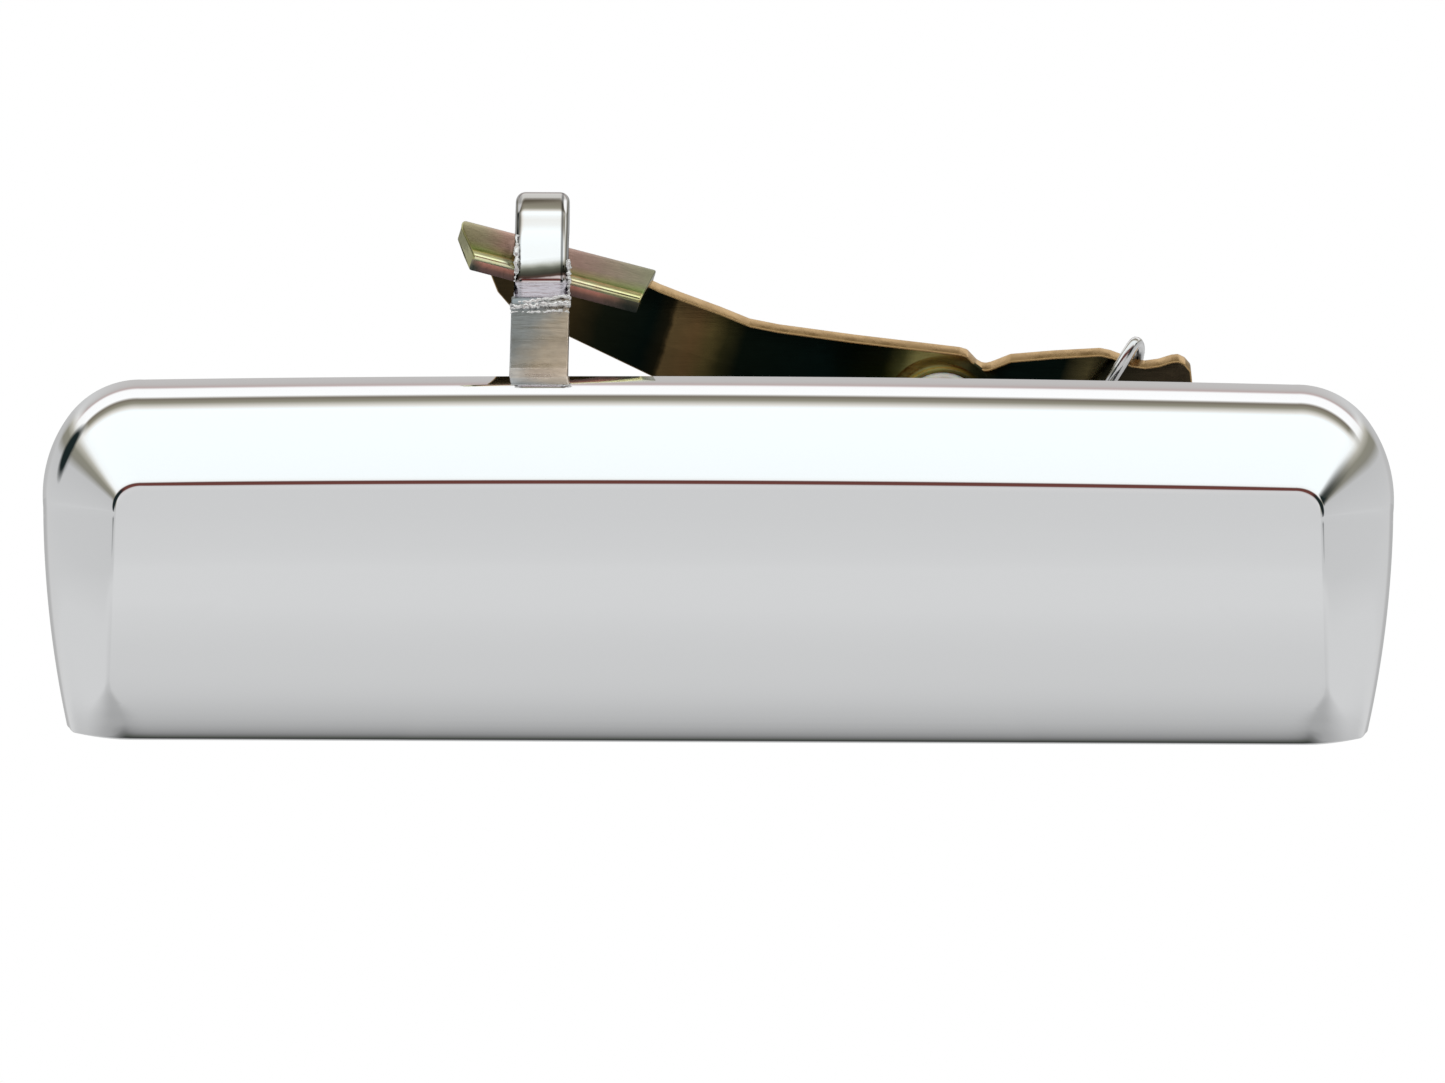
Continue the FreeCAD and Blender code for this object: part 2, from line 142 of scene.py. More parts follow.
def plastic(name, colour, rough, bumpiness, subsurface=0):
    """Moulded plastic or rubber, faintly clouded."""
    material, tree, shader = new_material(name)
    vector = coords(tree)
    dark = tuple(c * 0.86 for c in colour)
    clouded = ramp(tree, noise(tree, vector, 0.4, 4), [(0.3, dark), (0.7, colour)])
    plug(shader, {"Base Color": clouded, "Roughness": rough, "Subsurface Weight": subsurface,
                  "Subsurface Scale": MM})
    relief(tree, noise(tree, vector, 3, 5), bumpiness, FINE_RELIEF, shader)
    return material


def yellow_zinc(name, dark, light):
    """Yellow-passivated zinc: rainbow film over faintly brushed steel."""
    material, tree, shader = new_material(name)
    red, green, blue = light
    pinkish = (red * 1.1, green * 0.72, blue * 0.8)
    greenish = (red * 0.72, green * 0.95, blue * 0.75)
    film = ramp(tree, noise(tree, coords(tree), 0.16, 3, 0.6),
                [(0.28, dark), (0.42, light), (0.52, pinkish), (0.62, greenish), (0.78, light)])
    streaks = noise(tree, coords(tree, (300, 3000, 3000)), 1, 5)
    dull = ramp(tree, streaks, [(0.3, 0.16), (0.7, 0.32)])
    plug(shader, {"Metallic": 1, "Base Color": film, "Roughness": dull})
    relief(tree, streaks, 0.06, FINE_RELIEF, shader)
    return material


def along(tree, direction, low, high, stops, ragged):
    """Colour that changes with the position along a direction, between low and high mm; ragged is how far
    its borders wander, in mm."""
    vector = coords(tree)
    value = dot(tree, vector, direction)
    if ragged:
        value = maths(tree, "MULTIPLY_ADD", noise(tree, vector, 0.5, 4), ragged, value)
    limits = {"Value": value, "From Min": low + ragged / 2, "From Max": high + ragged / 2}
    span = add(tree, "MapRange", limits).outputs["Result"]
    return ramp(tree, span, [((at - low) / (high - low), colour) for at, colour in stops])


def tinted(material, *layers, mottled=0.86):
    """Gives a metal the product of layers of colour, each of them what along takes, and a light mottle."""
    tree = material.node_tree
    colours = [along(tree, *layer) for layer in layers]
    clouds = noise(tree, coords(tree), 0.9, 4)
    colours.append(ramp(tree, clouds, [(0.3, mottled), (0.7, 1)]))
    product = colours[0]
    for colour in colours[1:]:
        product = mix(tree, 1, product, colour, "MULTIPLY")
    plug(tree.nodes["Principled BSDF"], {"Base Color": product})
    return material


CHROME = metal("chrome", (0.93, 0.94, 0.95), 0.035, 0.012, 0.05)
# Chrome of the flap's inside: rougher than the outside, and its colour darkened as painted shade for the
# recess.
CHROME_INSIDE = metal("chrome_inside", (0.45, 0.46, 0.46), 0.3, 0.08, 0.3, 0.25)
# Satin casting of the finger's arm. Its colour layers are painted reflections: a warm band across it, a
# bluish band low down and a brighter painted highlight above that.
SATIN_AND_PAINTED_REFLECTION = tinted(
    metal("satin_casting_and_painted_reflection", (0.62, 0.6, 0.56), 0.34, 0.1, 0.5, 0.3, (300, 300, 2500), 1.1),
    ((1, 0, -0.55), -44, -22, [
        (-40, (0.36, 0.4, 0.42)), (-36.5, (0.44, 0.47, 0.48)), (-33, (0.72, 0.62, 0.5)),
        (-29.5, (0.74, 0.62, 0.49)), (-26.5, (0.5, 0.5, 0.48))], 2.6),
    ((0, 0, 1), 11, 30, [
        (18.6, (0.62, 0.68, 0.76)), (19.9, (0.98, 0.98, 0.98)), (22.2, 1.12), (25, 0.9), (27.5, 1)], 1.8))
FLASH = metal("casting_flash", (0.95, 0.95, 0.94), 0.16, 0.08, 1, 0.5, metallic=0.65)
# The finger's colour layers are painted reflections and shade: up its height a pinkish band, a near-black
# band of painted shade fading back through grey to white, and darker again at the top; across its width
# darker painted stripes on its rounded sides.
CHROME_FINGER = tinted(
    metal("chrome_finger", (0.93, 0.94, 0.95), 0.04, 0.015, 0.05),
    ((-0.1, 0, 1), 28, 48, [
        (34, (0.9, 0.88, 0.9)), (34.15, (0.8, 0.7, 0.7)), (34.4, (0.7, 0.6, 0.6)),
        (34.55, (0.09, 0.05, 0.04)), (34.9, (0.05, 0.046, 0.036)), (35.33, (0.09, 0.09, 0.068)),
        (35.68, (0.19, 0.19, 0.155)), (36, (0.45, 0.44, 0.39)), (36.4, (0.82, 0.82, 0.8)), (36.8, 0.94),
        (43.3, 0.94), (43.7, (0.52, 0.51, 0.48))], 0.4),
    ((1, 0, 0), -24, -17, [
        (-23.45, 0.48), (-23.2, 0.55), (-22.98, 1), (-18.5, 1), (-18.36, 0.25), (-18.22, 0.3), (-18.1, 1),
        (-17.9, 0.9), (-17.75, 0.4)], 0),
    mottled=1)
CAST = metal("zinc_casting", (0.5, 0.51, 0.52), 0.42, 0.08, 0.5, 0.3)
STEEL = metal("ground_steel", (0.66, 0.66, 0.66), 0.2, 0.06, 0.5, 0.05, (200, 3000, 3000))
ZINC = metal("bright_zinc", (0.74, 0.75, 0.78), 0.24, 0.07, 0.8, 0.1)
BLACK_STEEL = metal("black_steel", (0.13, 0.13, 0.14), 0.35, 0.08, 0.8, 0.1)
WIRE = metal("spring_wire", (0.8, 0.8, 0.8), 0.14, 0.05, 1, 0.05)
YELLOW = yellow_zinc("yellow_zinc", (0.36, 0.3, 0.12), (0.62, 0.5, 0.24))
# Lever sheet: dark yellow-zinc film. Its colours along the sheet are painted reflections: browner at the far
# left, a brown band at the fold, an olive painted highlight round the pivot and a faint olive painted sheen
# near the spring.
LEVER_WEB = tinted(
    metal("lever_film_and_painted_reflection", (0.3, 0.3, 0.2), 0.2, 0.07, 0.8, 0.05, (300, 3000, 3000)),
    ((1, 0, -0.309), -40, 60, [
        (-37, (0.09, 0.065, 0.032)), (-28, (0.13, 0.085, 0.033)), (-22.5, (0.02, 0.025, 0.014)),
        (-16.4, (0.006, 0.014, 0.011)), (-14.3, (0.03, 0.025, 0.012)), (-13.85, (0.27, 0.18, 0.075)),
        (-11, (0.28, 0.165, 0.066)), (-9, (0.2, 0.15, 0.052)), (-7.2, (0.06, 0.055, 0.02)),
        (-5, (0.008, 0.014, 0.009)), (8, (0.003, 0.011, 0.01)), (12.6, (0.012, 0.018, 0.01)),
        (14.4, (0.1, 0.1, 0.034)), (16, (0.42, 0.38, 0.14)), (18, (0.52, 0.47, 0.18)),
        (20.5, (0.32, 0.27, 0.1)), (23, (0.05, 0.05, 0.022)), (26, (0.005, 0.012, 0.01)),
        (33.5, (0.006, 0.012, 0.009)), (36.6, (0.16, 0.13, 0.055)), (38.5, (0.03, 0.03, 0.018)),
        (46, (0.1, 0.075, 0.045))], 1))
LEVER_FLANGE = tinted(
    metal("flange_film_and_painted_highlight", (0.6, 0.4, 0.3), 0.2, 0.06, 0.8, 0.05, (300, 3000, 3000)),
    ((1, 0, 0), -34, -4, [
        (-31, (0.44, 0.42, 0.22)), (-27.5, (0.44, 0.38, 0.23)), (-25, (0.5, 0.31, 0.24)),
        (-16, (0.42, 0.27, 0.22)), (-11, (0.33, 0.28, 0.19)), (-8, (0.27, 0.27, 0.16))], 2),
    # Painted highlight along the front edge's rounding, with a greenish painted reflection band just behind
    # it.
    ((0, -0.866, -0.5), -44, -30, [
        (-36, 1), (-34.9, (0.9, 1, 0.72)), (-33.6, (0.86, 1.3, 0.48)), (-33.05, (4.2, 3.7, 2.9))], 0))
FLANGE_END = metal("flange_end_film", (0.46, 0.45, 0.2), 0.22, 0.05, 0.8, 0.1, (2500, 400, 400))
LEDGE = metal("machined_ledge", (0.86, 0.83, 0.9), 0.26, 0.08, 1, 0.5, (250, 1000, 3500), 1.5)
SHEARED_GOLD = metal("sheared_gold", (0.56, 0.37, 0.17), 0.26, 0.1, 1, 0.25, (700, 300, 300), 1.2)
SHEARED_RED = tinted(
    metal("sheared_red", (0.61, 0.27, 0.17), 0.52, 0.1, 1, 0.8, (2200, 300, 300), 1.2, 0.45),
    ((1, 0, 0), -34, -4, [
        (-29.2, (0.3, 0.28, 0.2)), (-27.6, (1, 0.48, 0.38)), (-14.5, (1, 0.46, 0.36)),
        (-12.2, (0.55, 0.33, 0.24)), (-10.8, (0.14, 0.14, 0.1))], 2.5),
    # Painted shade: the sheared edge darker towards its lower rim.
    ((0.2905, 0, 1.1547), 29.5, 32.5, [
        (30, (0.2, 0.28, 0.34)), (30.8, (0.36, 0.42, 0.44)), (31.3, (0.85, 0.8, 0.75)), (31.6, 1)], 0))
NYLON = plastic("nylon", (0.92, 0.9, 0.82), 0.42, 0.05, 0.3)
RUBBER = plastic("rubber", (0.03, 0.03, 0.032), 0.75, 0.4)

# --- mesh helpers ---


def new_object(name, data):
    obj = bpy.data.objects.new(name, data)
    bpy.context.scene.collection.objects.link(obj)
    return obj


def metres(point):
    return tuple(c * MM for c in point)


@contextmanager
def mesh_edit(obj):
    """Lends an object's mesh for editing."""
    work = bmesh.new()
    work.from_mesh(obj.data)
    yield work
    work.to_mesh(obj.data)
    work.free()


def make_object(name, vertices, faces, materials, face_slots=None):
    """Smooth-shaded mesh from vertices in mm, its faces turned outwards."""
    mesh = bpy.data.meshes.new(name)
    mesh.from_pydata([metres(v) for v in vertices], [], faces)
    mesh.validate()
    for material in materials:
        mesh.materials.append(material)
    if face_slots:
        mesh.polygons.foreach_set("material_index", face_slots)
    mesh.polygons.foreach_set("use_smooth", [True] * len(mesh.polygons))
    mesh.update()
    obj = new_object(name, mesh)
    with mesh_edit(obj) as work:
        bmesh.ops.recalc_face_normals(work, faces=work.faces)
    return obj


def finish_piece(obj, body, node):
    """Puts a piece on its body, in place of this CAD node."""
    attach(obj, body)
    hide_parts(node)


def on_flap(obj):
    finish_piece(obj, "flap", "handle_flap")


def ring_faces(ring_a, ring_b, count):
    """Faces between two closed rings of vertices."""
    steps = [(i, (i + 1) % count) for i in range(count)]
    return [(ring_a + i, ring_a + j, ring_b + j, ring_b + i) for i, j in steps]


def skin(rings, count, closed=False):
    """Faces over a row of rings of vertices, capped at both ends or, if closed, joined last to first."""
    faces = []
    for k in range(rings - 1):
        faces += ring_faces(k * count, (k + 1) * count, count)
    last = (rings - 1) * count
    if closed:
        return faces + ring_faces(last, 0, count)
    return faces + [tuple(reversed(range(count))), tuple(range(last, last + count))]


def outward(points):
    """Unit normals of a closed 2-D outline that runs anticlockwise."""
    normals = []
    for i in range(len(points)):
        (ax, ay), (bx, by) = points[i - 1], points[(i + 1) % len(points)]
        dx, dy = bx - ax, by - ay
        size = hypot(dx, dy) or 1
        normals.append((dy / size, -dx / size))
    return normals


def area(points):
    """Area inside a 2-D outline, above zero where it runs anticlockwise."""
    return 0.5 * sum(points[i - 1][0] * p[1] - p[0] * points[i - 1][1] for i, p in enumerate(points))


def slab(name, outline, low, high, place, radius, materials, steps=4, choose=None):
    """Plate with this outline from low to high, its rims rounded to radius. place turns (a, b, depth) into
    a point in mm, and choose turns the same into a material slot."""
    if area(outline) < 0:
        outline = outline[::-1]
    normals = outward(outline)
    layers = []
    for k in range(steps + 1):
        angle = pi / 2 * k / steps
        layers.append((radius * (1 - sin(angle)), low + radius * (1 - cos(angle))))
    layers += [(inset, low + high - depth) for inset, depth in reversed(layers)]
    vertices, slots = [], []
    count = len(outline)
    for inset, depth in layers:
        for (a, b), (na, nb) in zip(outline, normals):
            vertices.append(place(a - na * inset, b - nb * inset, depth))
    if choose:
        for (_, depth), (_, next_depth) in zip(layers, layers[1:]):
            for (a, b), (next_a, next_b) in zip(outline, outline[1:] + outline[:1]):
                slots.append(choose((a + next_a) / 2, (b + next_b) / 2, (depth + next_depth) / 2))
        middle = (sum(p[0] for p in outline) / count, sum(p[1] for p in outline) / count)
        slots += [choose(*middle, low), choose(*middle, high)]
    obj = make_object(name, vertices, skin(len(layers), count), materials, slots)
    auto_smooth(obj, 40)
    return obj


def bake(obj):
    """Turns the object's modifiers into its mesh."""
    bpy.context.view_layer.update()
    graph = bpy.context.evaluated_depsgraph_get()
    mesh = bpy.data.meshes.new_from_object(obj.evaluated_get(graph))
    obj.modifiers.clear()
    obj.data = mesh


def drill(obj, origin, axis, radius, length):
    """Cuts a round hole, centred on origin."""
    axis = Vector(axis).normalized()
    start = Vector(origin) - axis * (length / 2)
    count = 40
    vertices = lathe([(radius, 0), (radius, length)], start, axis, (0.12, 0.45, 0.78), count)
    tool = make_object("drill", vertices, skin(2, count), [])
    cut = obj.modifiers.new("cut", "BOOLEAN")
    cut.operation, cut.solver, cut.object = "DIFFERENCE", "EXACT", tool
    bake(obj)
    bpy.data.objects.remove(tool)
    auto_smooth(obj, 40)


def auto_smooth(obj, degrees):
    """Smooth shading that breaks at edges folded by more than this."""
    limit = radians(degrees)
    with mesh_edit(obj) as work:
        for edge in work.edges:
            folded = len(edge.link_faces) == 2 and edge.calc_face_angle(0) > limit
            edge.smooth = not folded


def catmull(points, steps):
    """Smooth curve through points of any dimension."""
    result = []
    last = len(points) - 1
    for i in range(last):
        p0, p1, p2, p3 = points[max(i - 1, 0)], points[i], points[i + 1], points[min(i + 2, last)]
        for k in range(steps):
            t = k / steps
            result.append(tuple(
                0.5 * (2 * b + (c - a) * t + (2 * a - 5 * b + 4 * c - d) * t * t
                       + (3 * b - a - 3 * c + d) * t ** 3) for a, b, c, d in zip(p0, p1, p2, p3)))
    result.append(tuple(points[-1]))
    return result


def rounded(corners, radius, steps=6):
    """Outline whose corners are rounded; radius may be one number or one per corner."""
    result = []
    count = len(corners)
    for i, corner in enumerate(corners):
        r = radius[i] if isinstance(radius, (list, tuple)) else radius
        p, a, b = Vector(corner), Vector(corners[i - 1]), Vector(corners[(i + 1) % count])
        u, v = a - p, b - p
        longest = 0.48 * min(u.length, v.length)
        u.normalize()
        v.normalize()
        cut = min(r / tan(u.angle(v) / 2), longest)
        start, end = p + u * cut, p + v * cut
        for k in range(steps + 1):
            t = k / steps
            result.append(tuple(start * (1 - t) ** 2 + p * 2 * t * (1 - t) + end * t * t))
    return result


TUBE_ENDS = [(0.35, 0.72), (0.12, 0.94)]


def tube(name, path, radius, materials, sides=16):
    """Round wire along a path. Its ends are softened by TUBE_ENDS: how far past the path, and how wide,
    both as shares of the radius."""
    points = [Vector(p) for p in path]
    vertices, stations = [], []
    up = None
    for i, p in enumerate(points):
        tangent = (points[min(i + 1, len(points) - 1)] - points[max(i - 1, 0)]).normalized()
        if up is None:
            up = tangent.orthogonal().normalized()
        up = (up - tangent * up.dot(tangent)).normalized()
        stations.append((p, up.copy(), tangent.cross(up), tangent))
    p, u, v, tangent = stations[0]
    rings = [(p - tangent * radius * past, u, v, radius * share) for past, share in TUBE_ENDS]
    rings += [(p, u, v, radius) for p, u, v, _ in stations]
    p, u, v, tangent = stations[-1]
    rings += [(p + tangent * radius * past, u, v, radius * share) for past, share in reversed(TUBE_ENDS)]
    for p, u, v, r in rings:
        for k in range(sides):
            angle = 2 * pi * k / sides
            vertices.append(tuple(p + u * (r * cos(angle)) + v * (r * sin(angle))))
    return make_object(name, vertices, skin(len(rings), sides), materials)


def lathe(profile, origin, axis, side, segments):
    """Vertices of a turned piece: profile is (radius, along) pairs from one end of the axis to the other,
    and side is any direction off the axis, where the rings start."""
    origin, axis = Vector(origin), Vector(axis).normalized()
    u = (Vector(side) - axis * Vector(side).dot(axis)).normalized()
    v = axis.cross(u)
    vertices = []
    for radius, distance in profile:
        for k in range(segments):
            angle = 2 * pi * k / segments
            vertices.append(tuple(origin + axis * distance + (u * cos(angle) + v * sin(angle)) * radius))
    return vertices


def turned(name, profile, origin, axis, materials, segments=48, closed=False):
    """Turned piece. closed=True joins the last ring to the first, for washers and bushes."""
    vertices = lathe(profile, origin, axis, (0.123, 0.456, 0.789), segments)
    obj = make_object(name, vertices, skin(len(profile), segments, closed), materials)
    auto_smooth(obj, 50)
    return obj


def smoothstep(a, b, x):
    """Eased rise from 0 at a to 1 at b."""
    t = min(max((x - a) / (b - a), 0), 1)
    return t * t * (3 - 2 * t)


def arc3(p, q, r, steps):
    """Points on the circle through three 2-D points, without the last one."""
    ax, ay, bx, by, cx, cy = *p, *q, *r
    d = 2 * (ax * (by - cy) + bx * (cy - ay) + cx * (ay - by))
    a2, b2, c2 = ax * ax + ay * ay, bx * bx + by * by, cx * cx + cy * cy
    ux = (a2 * (by - cy) + b2 * (cy - ay) + c2 * (ay - by)) / d
    uy = (a2 * (cx - bx) + b2 * (ax - cx) + c2 * (bx - ax)) / d
    radius = hypot(ax - ux, ay - uy)
    a, b = atan2(ay - uy, ax - ux), atan2(cy - uy, cx - ux)
    turn = (b - a + pi) % (2 * pi) - pi
    return [(ux + radius * cos(a + turn * k / steps), uy + radius * sin(a + turn * k / steps))
            for k in range(steps)]


# --- flap shell ---

# Columns of the shell's mesh along its top edge, round a top corner, down a side, round a bottom corner
# and along the bottom.
TOP_STEPS, CORNER_STEPS, SIDE_STEPS, FOOT_STEPS, BOTTOM_STEPS = 44, 36, 26, 14, 40
# Depth of the flap's back rim, and the thickness of its wall.
BACK = -2.5
WALL = 2
# Ends of the flap's side and foot, then of the crease beside them.
SIDE_TOP, SIDE_FOOT = (77.5, 5.5), (74.68, -19.4)
FOOT_END = 73.5
CREASE_TOP, CREASE_FOOT = (68.7, 5.05), (69.35, -14.5)
CREASE_RADIUS = 3.1
CREASE_LOW, CREASE_LOW_END = -16.4, 67
# The crease is softened over CREASE_REACH to either side, with no other vertex closer than CREASE_GAP.
CREASE_REACH, CREASE_GAP = 0.58, 0.8
RIM_RADIUS = 0.35
FACE_MIDDLE = -4
# How far the inside lies behind the outside, as a share of the wall.
DEEPEN = 0.95
# How low and how wide the inside's rim may reach at the feet, and how far forward of the back the lower rim
# stands between them.
INSIDE_LOWEST, INSIDE_WIDEST, LOWER_RIM_FORWARD = -18.35, 72.7, 9


def bottom_line(x):
    """Height of the flap's lower edge: straight, rising a little towards the ends."""
    return -20.95 + 0.68 * (max(abs(x) - 67.5, 0) / 6) ** 1.5


def end_roll(x, z, inset):
    """How far the end bevel rolls back just above the lower edge."""
    height = z - inset - bottom_line(min(abs(x), FOOT_END))
    return 1.2 * smoothstep(66, 70, abs(x)) * min(max(1 - height / 3.6, 0), 1) ** 2


def half_perimeter():
    """Right half, from the top middle clockwise to the bottom middle: (back outline, crease outline, kind)
    for each column. kind is 0 along the top, reaches 1 round the corner and 2 round the foot."""
    columns = []
    for k in range(TOP_STEPS):
        u = k / TOP_STEPS
        columns.append(((66 * u, 20.85 - 0.65 * u * u), (65.6 * u, 8.65 - 0.5 * u * u), 0))
    outer = arc3((66, 20.2), (70.8, 19.2), (74.7, 15.9), CORNER_STEPS // 2)
    outer += arc3((74.7, 15.9), (76.75, 11.9), SIDE_TOP, CORNER_STEPS // 2)
    centre_x, centre_z = CREASE_TOP[0] - CREASE_RADIUS, CREASE_TOP[1]
    for k, point in enumerate(outer):
        t = k / CORNER_STEPS
        angle = radians(90 * (1 - smoothstep(0.1, 0.92, t)))
        inner = (centre_x + CREASE_RADIUS * cos(angle), centre_z + CREASE_RADIUS * sin(angle))
        columns.append((point, inner, t))
    for k, point in enumerate(arc3(SIDE_TOP, (76.95, -4.9), SIDE_FOOT, SIDE_STEPS)):
        t = k / SIDE_STEPS
        inner = tuple(a + (b - a) * t for a, b in zip(CREASE_TOP, CREASE_FOOT))
        columns.append((point, inner, 1))
    outer = arc3(SIDE_FOOT, (74.15, -20.02), (FOOT_END, -20.27), FOOT_STEPS)
    inner = arc3(CREASE_FOOT, (68.8, -15.8), (CREASE_LOW_END, CREASE_LOW), FOOT_STEPS)
    for k in range(FOOT_STEPS):
        columns.append((outer[k], inner[k], 1 + k / FOOT_STEPS))
    for k in range(BOTTOM_STEPS + 1):
        u = 1 - (k / BOTTOM_STEPS) ** 1.5
        x = FOOT_END * u
        columns.append(((x, bottom_line(x)), (CREASE_LOW_END * u, CREASE_LOW), 2))
    return columns


def full_perimeter():
    """Both halves, clockwise all the way round."""
    right = half_perimeter()
    left = [((-o[0], o[1]), (-c[0], c[1]), kind) for o, c, kind in reversed(right[1:-1])]
    return right + left


def from_elevations(runs):
    """Profile from (height drop, first normal elevation, last one, steps) runs, scaled to 1 by 1."""
    points = [(0, 0)]
    for drop, first, last, steps in runs:
        for k in range(steps):
            e = radians(first + (last - first) * (k + 0.5) / steps)
            h, y = points[-1]
            points.append((h + drop / steps, y + tan(e) * drop / steps))
    total_h, total_y = points[-1]
    return [(h / total_h, y / total_y) for h, y in points]


# The flap's rim in section, above and at the sides: a steep wall, a turn and a straight bevel.
TOP_PROFILE = from_elevations([(0.9, 80, 78.5, 3), (2.95, 78.5, 43, 12), (8.35, 42, 37.5, 12)])
SIDE_PROFILE = from_elevations([(0.55, 86, 84, 3), (2, 84, 56, 12), (6.15, 54.5, 51, 12)])

# Where a column of the foot has its vertices, as shares of its way from the rim to the crease.
FOOT_STATIONS = [
    0, 0, 0.004, 0.01, 0.018, 0.03, 0.045, 0.065, 0.09, 0.12, 0.15, 0.185, 0.22, 0.26, 0.3, 0.345, 0.39,
    0.435, 0.48, 0.53, 0.58, 0.63, 0.68, 0.74, 0.8, 0.86, 0.93, 1]


def between(table, value):
    """Straight-line reading of a table whose first column rises or falls steadily."""
    if table[0][0] > table[-1][0]:
        table = table[::-1]
    if value <= table[0][0]:
        return table[0][1]
    for (a, fa), (b, fb) in zip(table, table[1:]):
        if value <= b:
            return fa + (fb - fa) * (value - a) / ((b - a) or 1)
    return table[-1][1]


def smooth_max(a, b, reach):
    """The larger of two numbers, with a soft change over where they are closer than reach."""
    gap = max(reach - abs(a - b), 0) / reach
    return max(a, b) + gap * gap * reach / 4


# Depth of the main face by height: slightly crowned, then leaning back and rolling under at the bottom.
FACE_TABLE = [
    (9.5, -19.3), (8, -19.42), (4, -19.7), (0, -19.88), (-2, -19.92), (-4.6, -19.76), (-6.8, -19.51),
    (-9.25, -19.17), (-11.7, -18.76), (-14.2, -18.32), (-15.2, -18.124), (-16.2, -17.907), (-17.2, -17.66),
    (-18, -17.432), (-18.7, -17.2), (-19.3, -16.964), (-19.8, -16.731), (-20.2, -16.502), (-20.5, -16.278),
    (-20.7, -16.067), (-20.85, -15.817), (-20.95, -15.49)]


def smooth_depth(z):
    """Depth of the main face at height z, without the table's small corners."""
    total = sum(between(FACE_TABLE, z + d) * w for d, w in ((-1.2, 1), (-0.6, 2), (0, 3), (0.6, 2), (1.2, 1)))
    return total / 9


def rolled_depth(z, inset):
    """Depth of the main face, kept unsmoothed where it turns under at the bottom."""
    low = z - (inset if z < -12 else 0)
    t = smoothstep(-17.5, -19.5, low)
    return smooth_depth(low) * (1 - t) + between(FACE_TABLE, low) * t


def across_bevel(x, z, inset):
    """How far a point lies across the end bevel: 0 at the flap's outline, 1 at the crease."""
    drop = SIDE_TOP[1] - z
    edge = SIDE_TOP[0] - 0.009587 * drop - 0.004163 * drop ** 2 - inset
    crease = CREASE_TOP[0] + 0.03325 * (CREASE_TOP[1] - z) - 0.55 * inset
    return (edge - abs(x)) / (edge - crease)


def side_share(x, z, inset):
    """Share of the face's depth that the end bevel has reached at a point."""
    return between(SIDE_PROFILE, min(max(across_bevel(x, z, inset), 0), 1))


def foot_surface(x, z, inset):
    """Front surface low down on the flap, where the end bevel and the rolled bottom edge meet."""
    beyond = max(across_bevel(x, z, inset) - 1, 0)
    bevel = side_share(x, z, inset) + 0.43 * beyond
    reach = 0.03 + 0.2 * smoothstep(-14.5, -19, z)
    return BACK + (rolled_depth(z, inset) - BACK) * -smooth_max(-bevel, -1, reach)


def inner_crease(crease, kind, inset):
    """Crease outline of the inside, inset from the outside's."""
    x, z = crease
    x -= copysign(inset * 0.55, x) * smoothstep(0, 6, abs(x)) * (1 if kind > 0 else 0.05)
    z -= inset * 0.45 if kind < 1 else 0
    z += inset * 0.5 if kind > 1.5 else 0
    return x, z


def inner_rim(rim, kind):
    """Back rim of the inside, held clear of the outside at the foot."""
    x, z = rim
    if 0.9 < kind < 2:
        z = max(z, INSIDE_LOWEST)
    if kind > 1:
        x = copysign(min(abs(x), INSIDE_WIDEST), x)
    return x, z


def rim_column(rim, crease, face_y, kind, inset):
    """Points from the back rim to the crease, along the top, round a corner or down a side."""
    w = smoothstep(0.26, 0.92, kind)
    column = []
    for (top_h, top_share), (side_h, level) in zip(TOP_PROFILE, SIDE_PROFILE):
        h = top_h * (1 - w) + side_h * w
        share = top_share * (1 - w) + level * w
        x, z = rim[0] + (crease[0] - rim[0]) * h, rim[1] + (crease[1] - rim[1]) * h
        low = smoothstep(0.3, 0.85, z / SIDE_FOOT[1]) if kind >= 1 else 0
        depth = face_y * (1 - low) + (rolled_depth(z, inset) + DEEPEN * inset) * low
        if low:
            share = share * (1 - low) + side_share(x, z, inset) * low
        column.append((x, BACK + (depth - BACK) * share + (end_roll(x, z, inset) if h else 0), z))
    return column


def foot_column(rim, crease, outline_x, kind, inset):
    """Points from the back rim to the crease, round a foot or along the bottom."""
    w = smoothstep(1, 1.35, kind)
    start = BACK - LOWER_RIM_FORWARD * (1 - smoothstep(55, 70, abs(outline_x))) if kind >= 2 else BACK
    length = hypot(crease[0] - rim[0], crease[1] - rim[1])
    column = []
    for index, ((own, _), station) in enumerate(zip(SIDE_PROFILE, FOOT_STATIONS)):
        h = own * (1 - w) + station * w
        h = max(h, 0.055 * (2 - kind)) if index else h
        x, z = rim[0] + (crease[0] - rim[0]) * h, rim[1] + (crease[1] - rim[1]) * h
        roll = end_roll(x, z, inset)
        edge = max(RIM_RADIUS - h * length, 0)
        rounding = (RIM_RADIUS - sqrt(max(RIM_RADIUS ** 2 - edge ** 2, 0))) * w
        y = foot_surface(x, z, inset) + DEEPEN * inset + roll + rounding
        y = min(y, start) if index else start
        depth = rolled_depth(z, inset) + DEEPEN * inset
        plain = BACK + (depth - BACK) * side_share(x, z, inset) + (roll if index else 0)
        column.append((x, plain * (1 - w) + y * w, z))
    return column


def resampled(column, count):
    """The same line with this many points."""
    points = []
    for k in range(count):
        position = k * (len(column) - 1) / (count - 1)
        low = min(int(position), len(column) - 2)
        points.append(tuple(Vector(column[low]).lerp(Vector(column[low + 1]), position - low)))
    return points


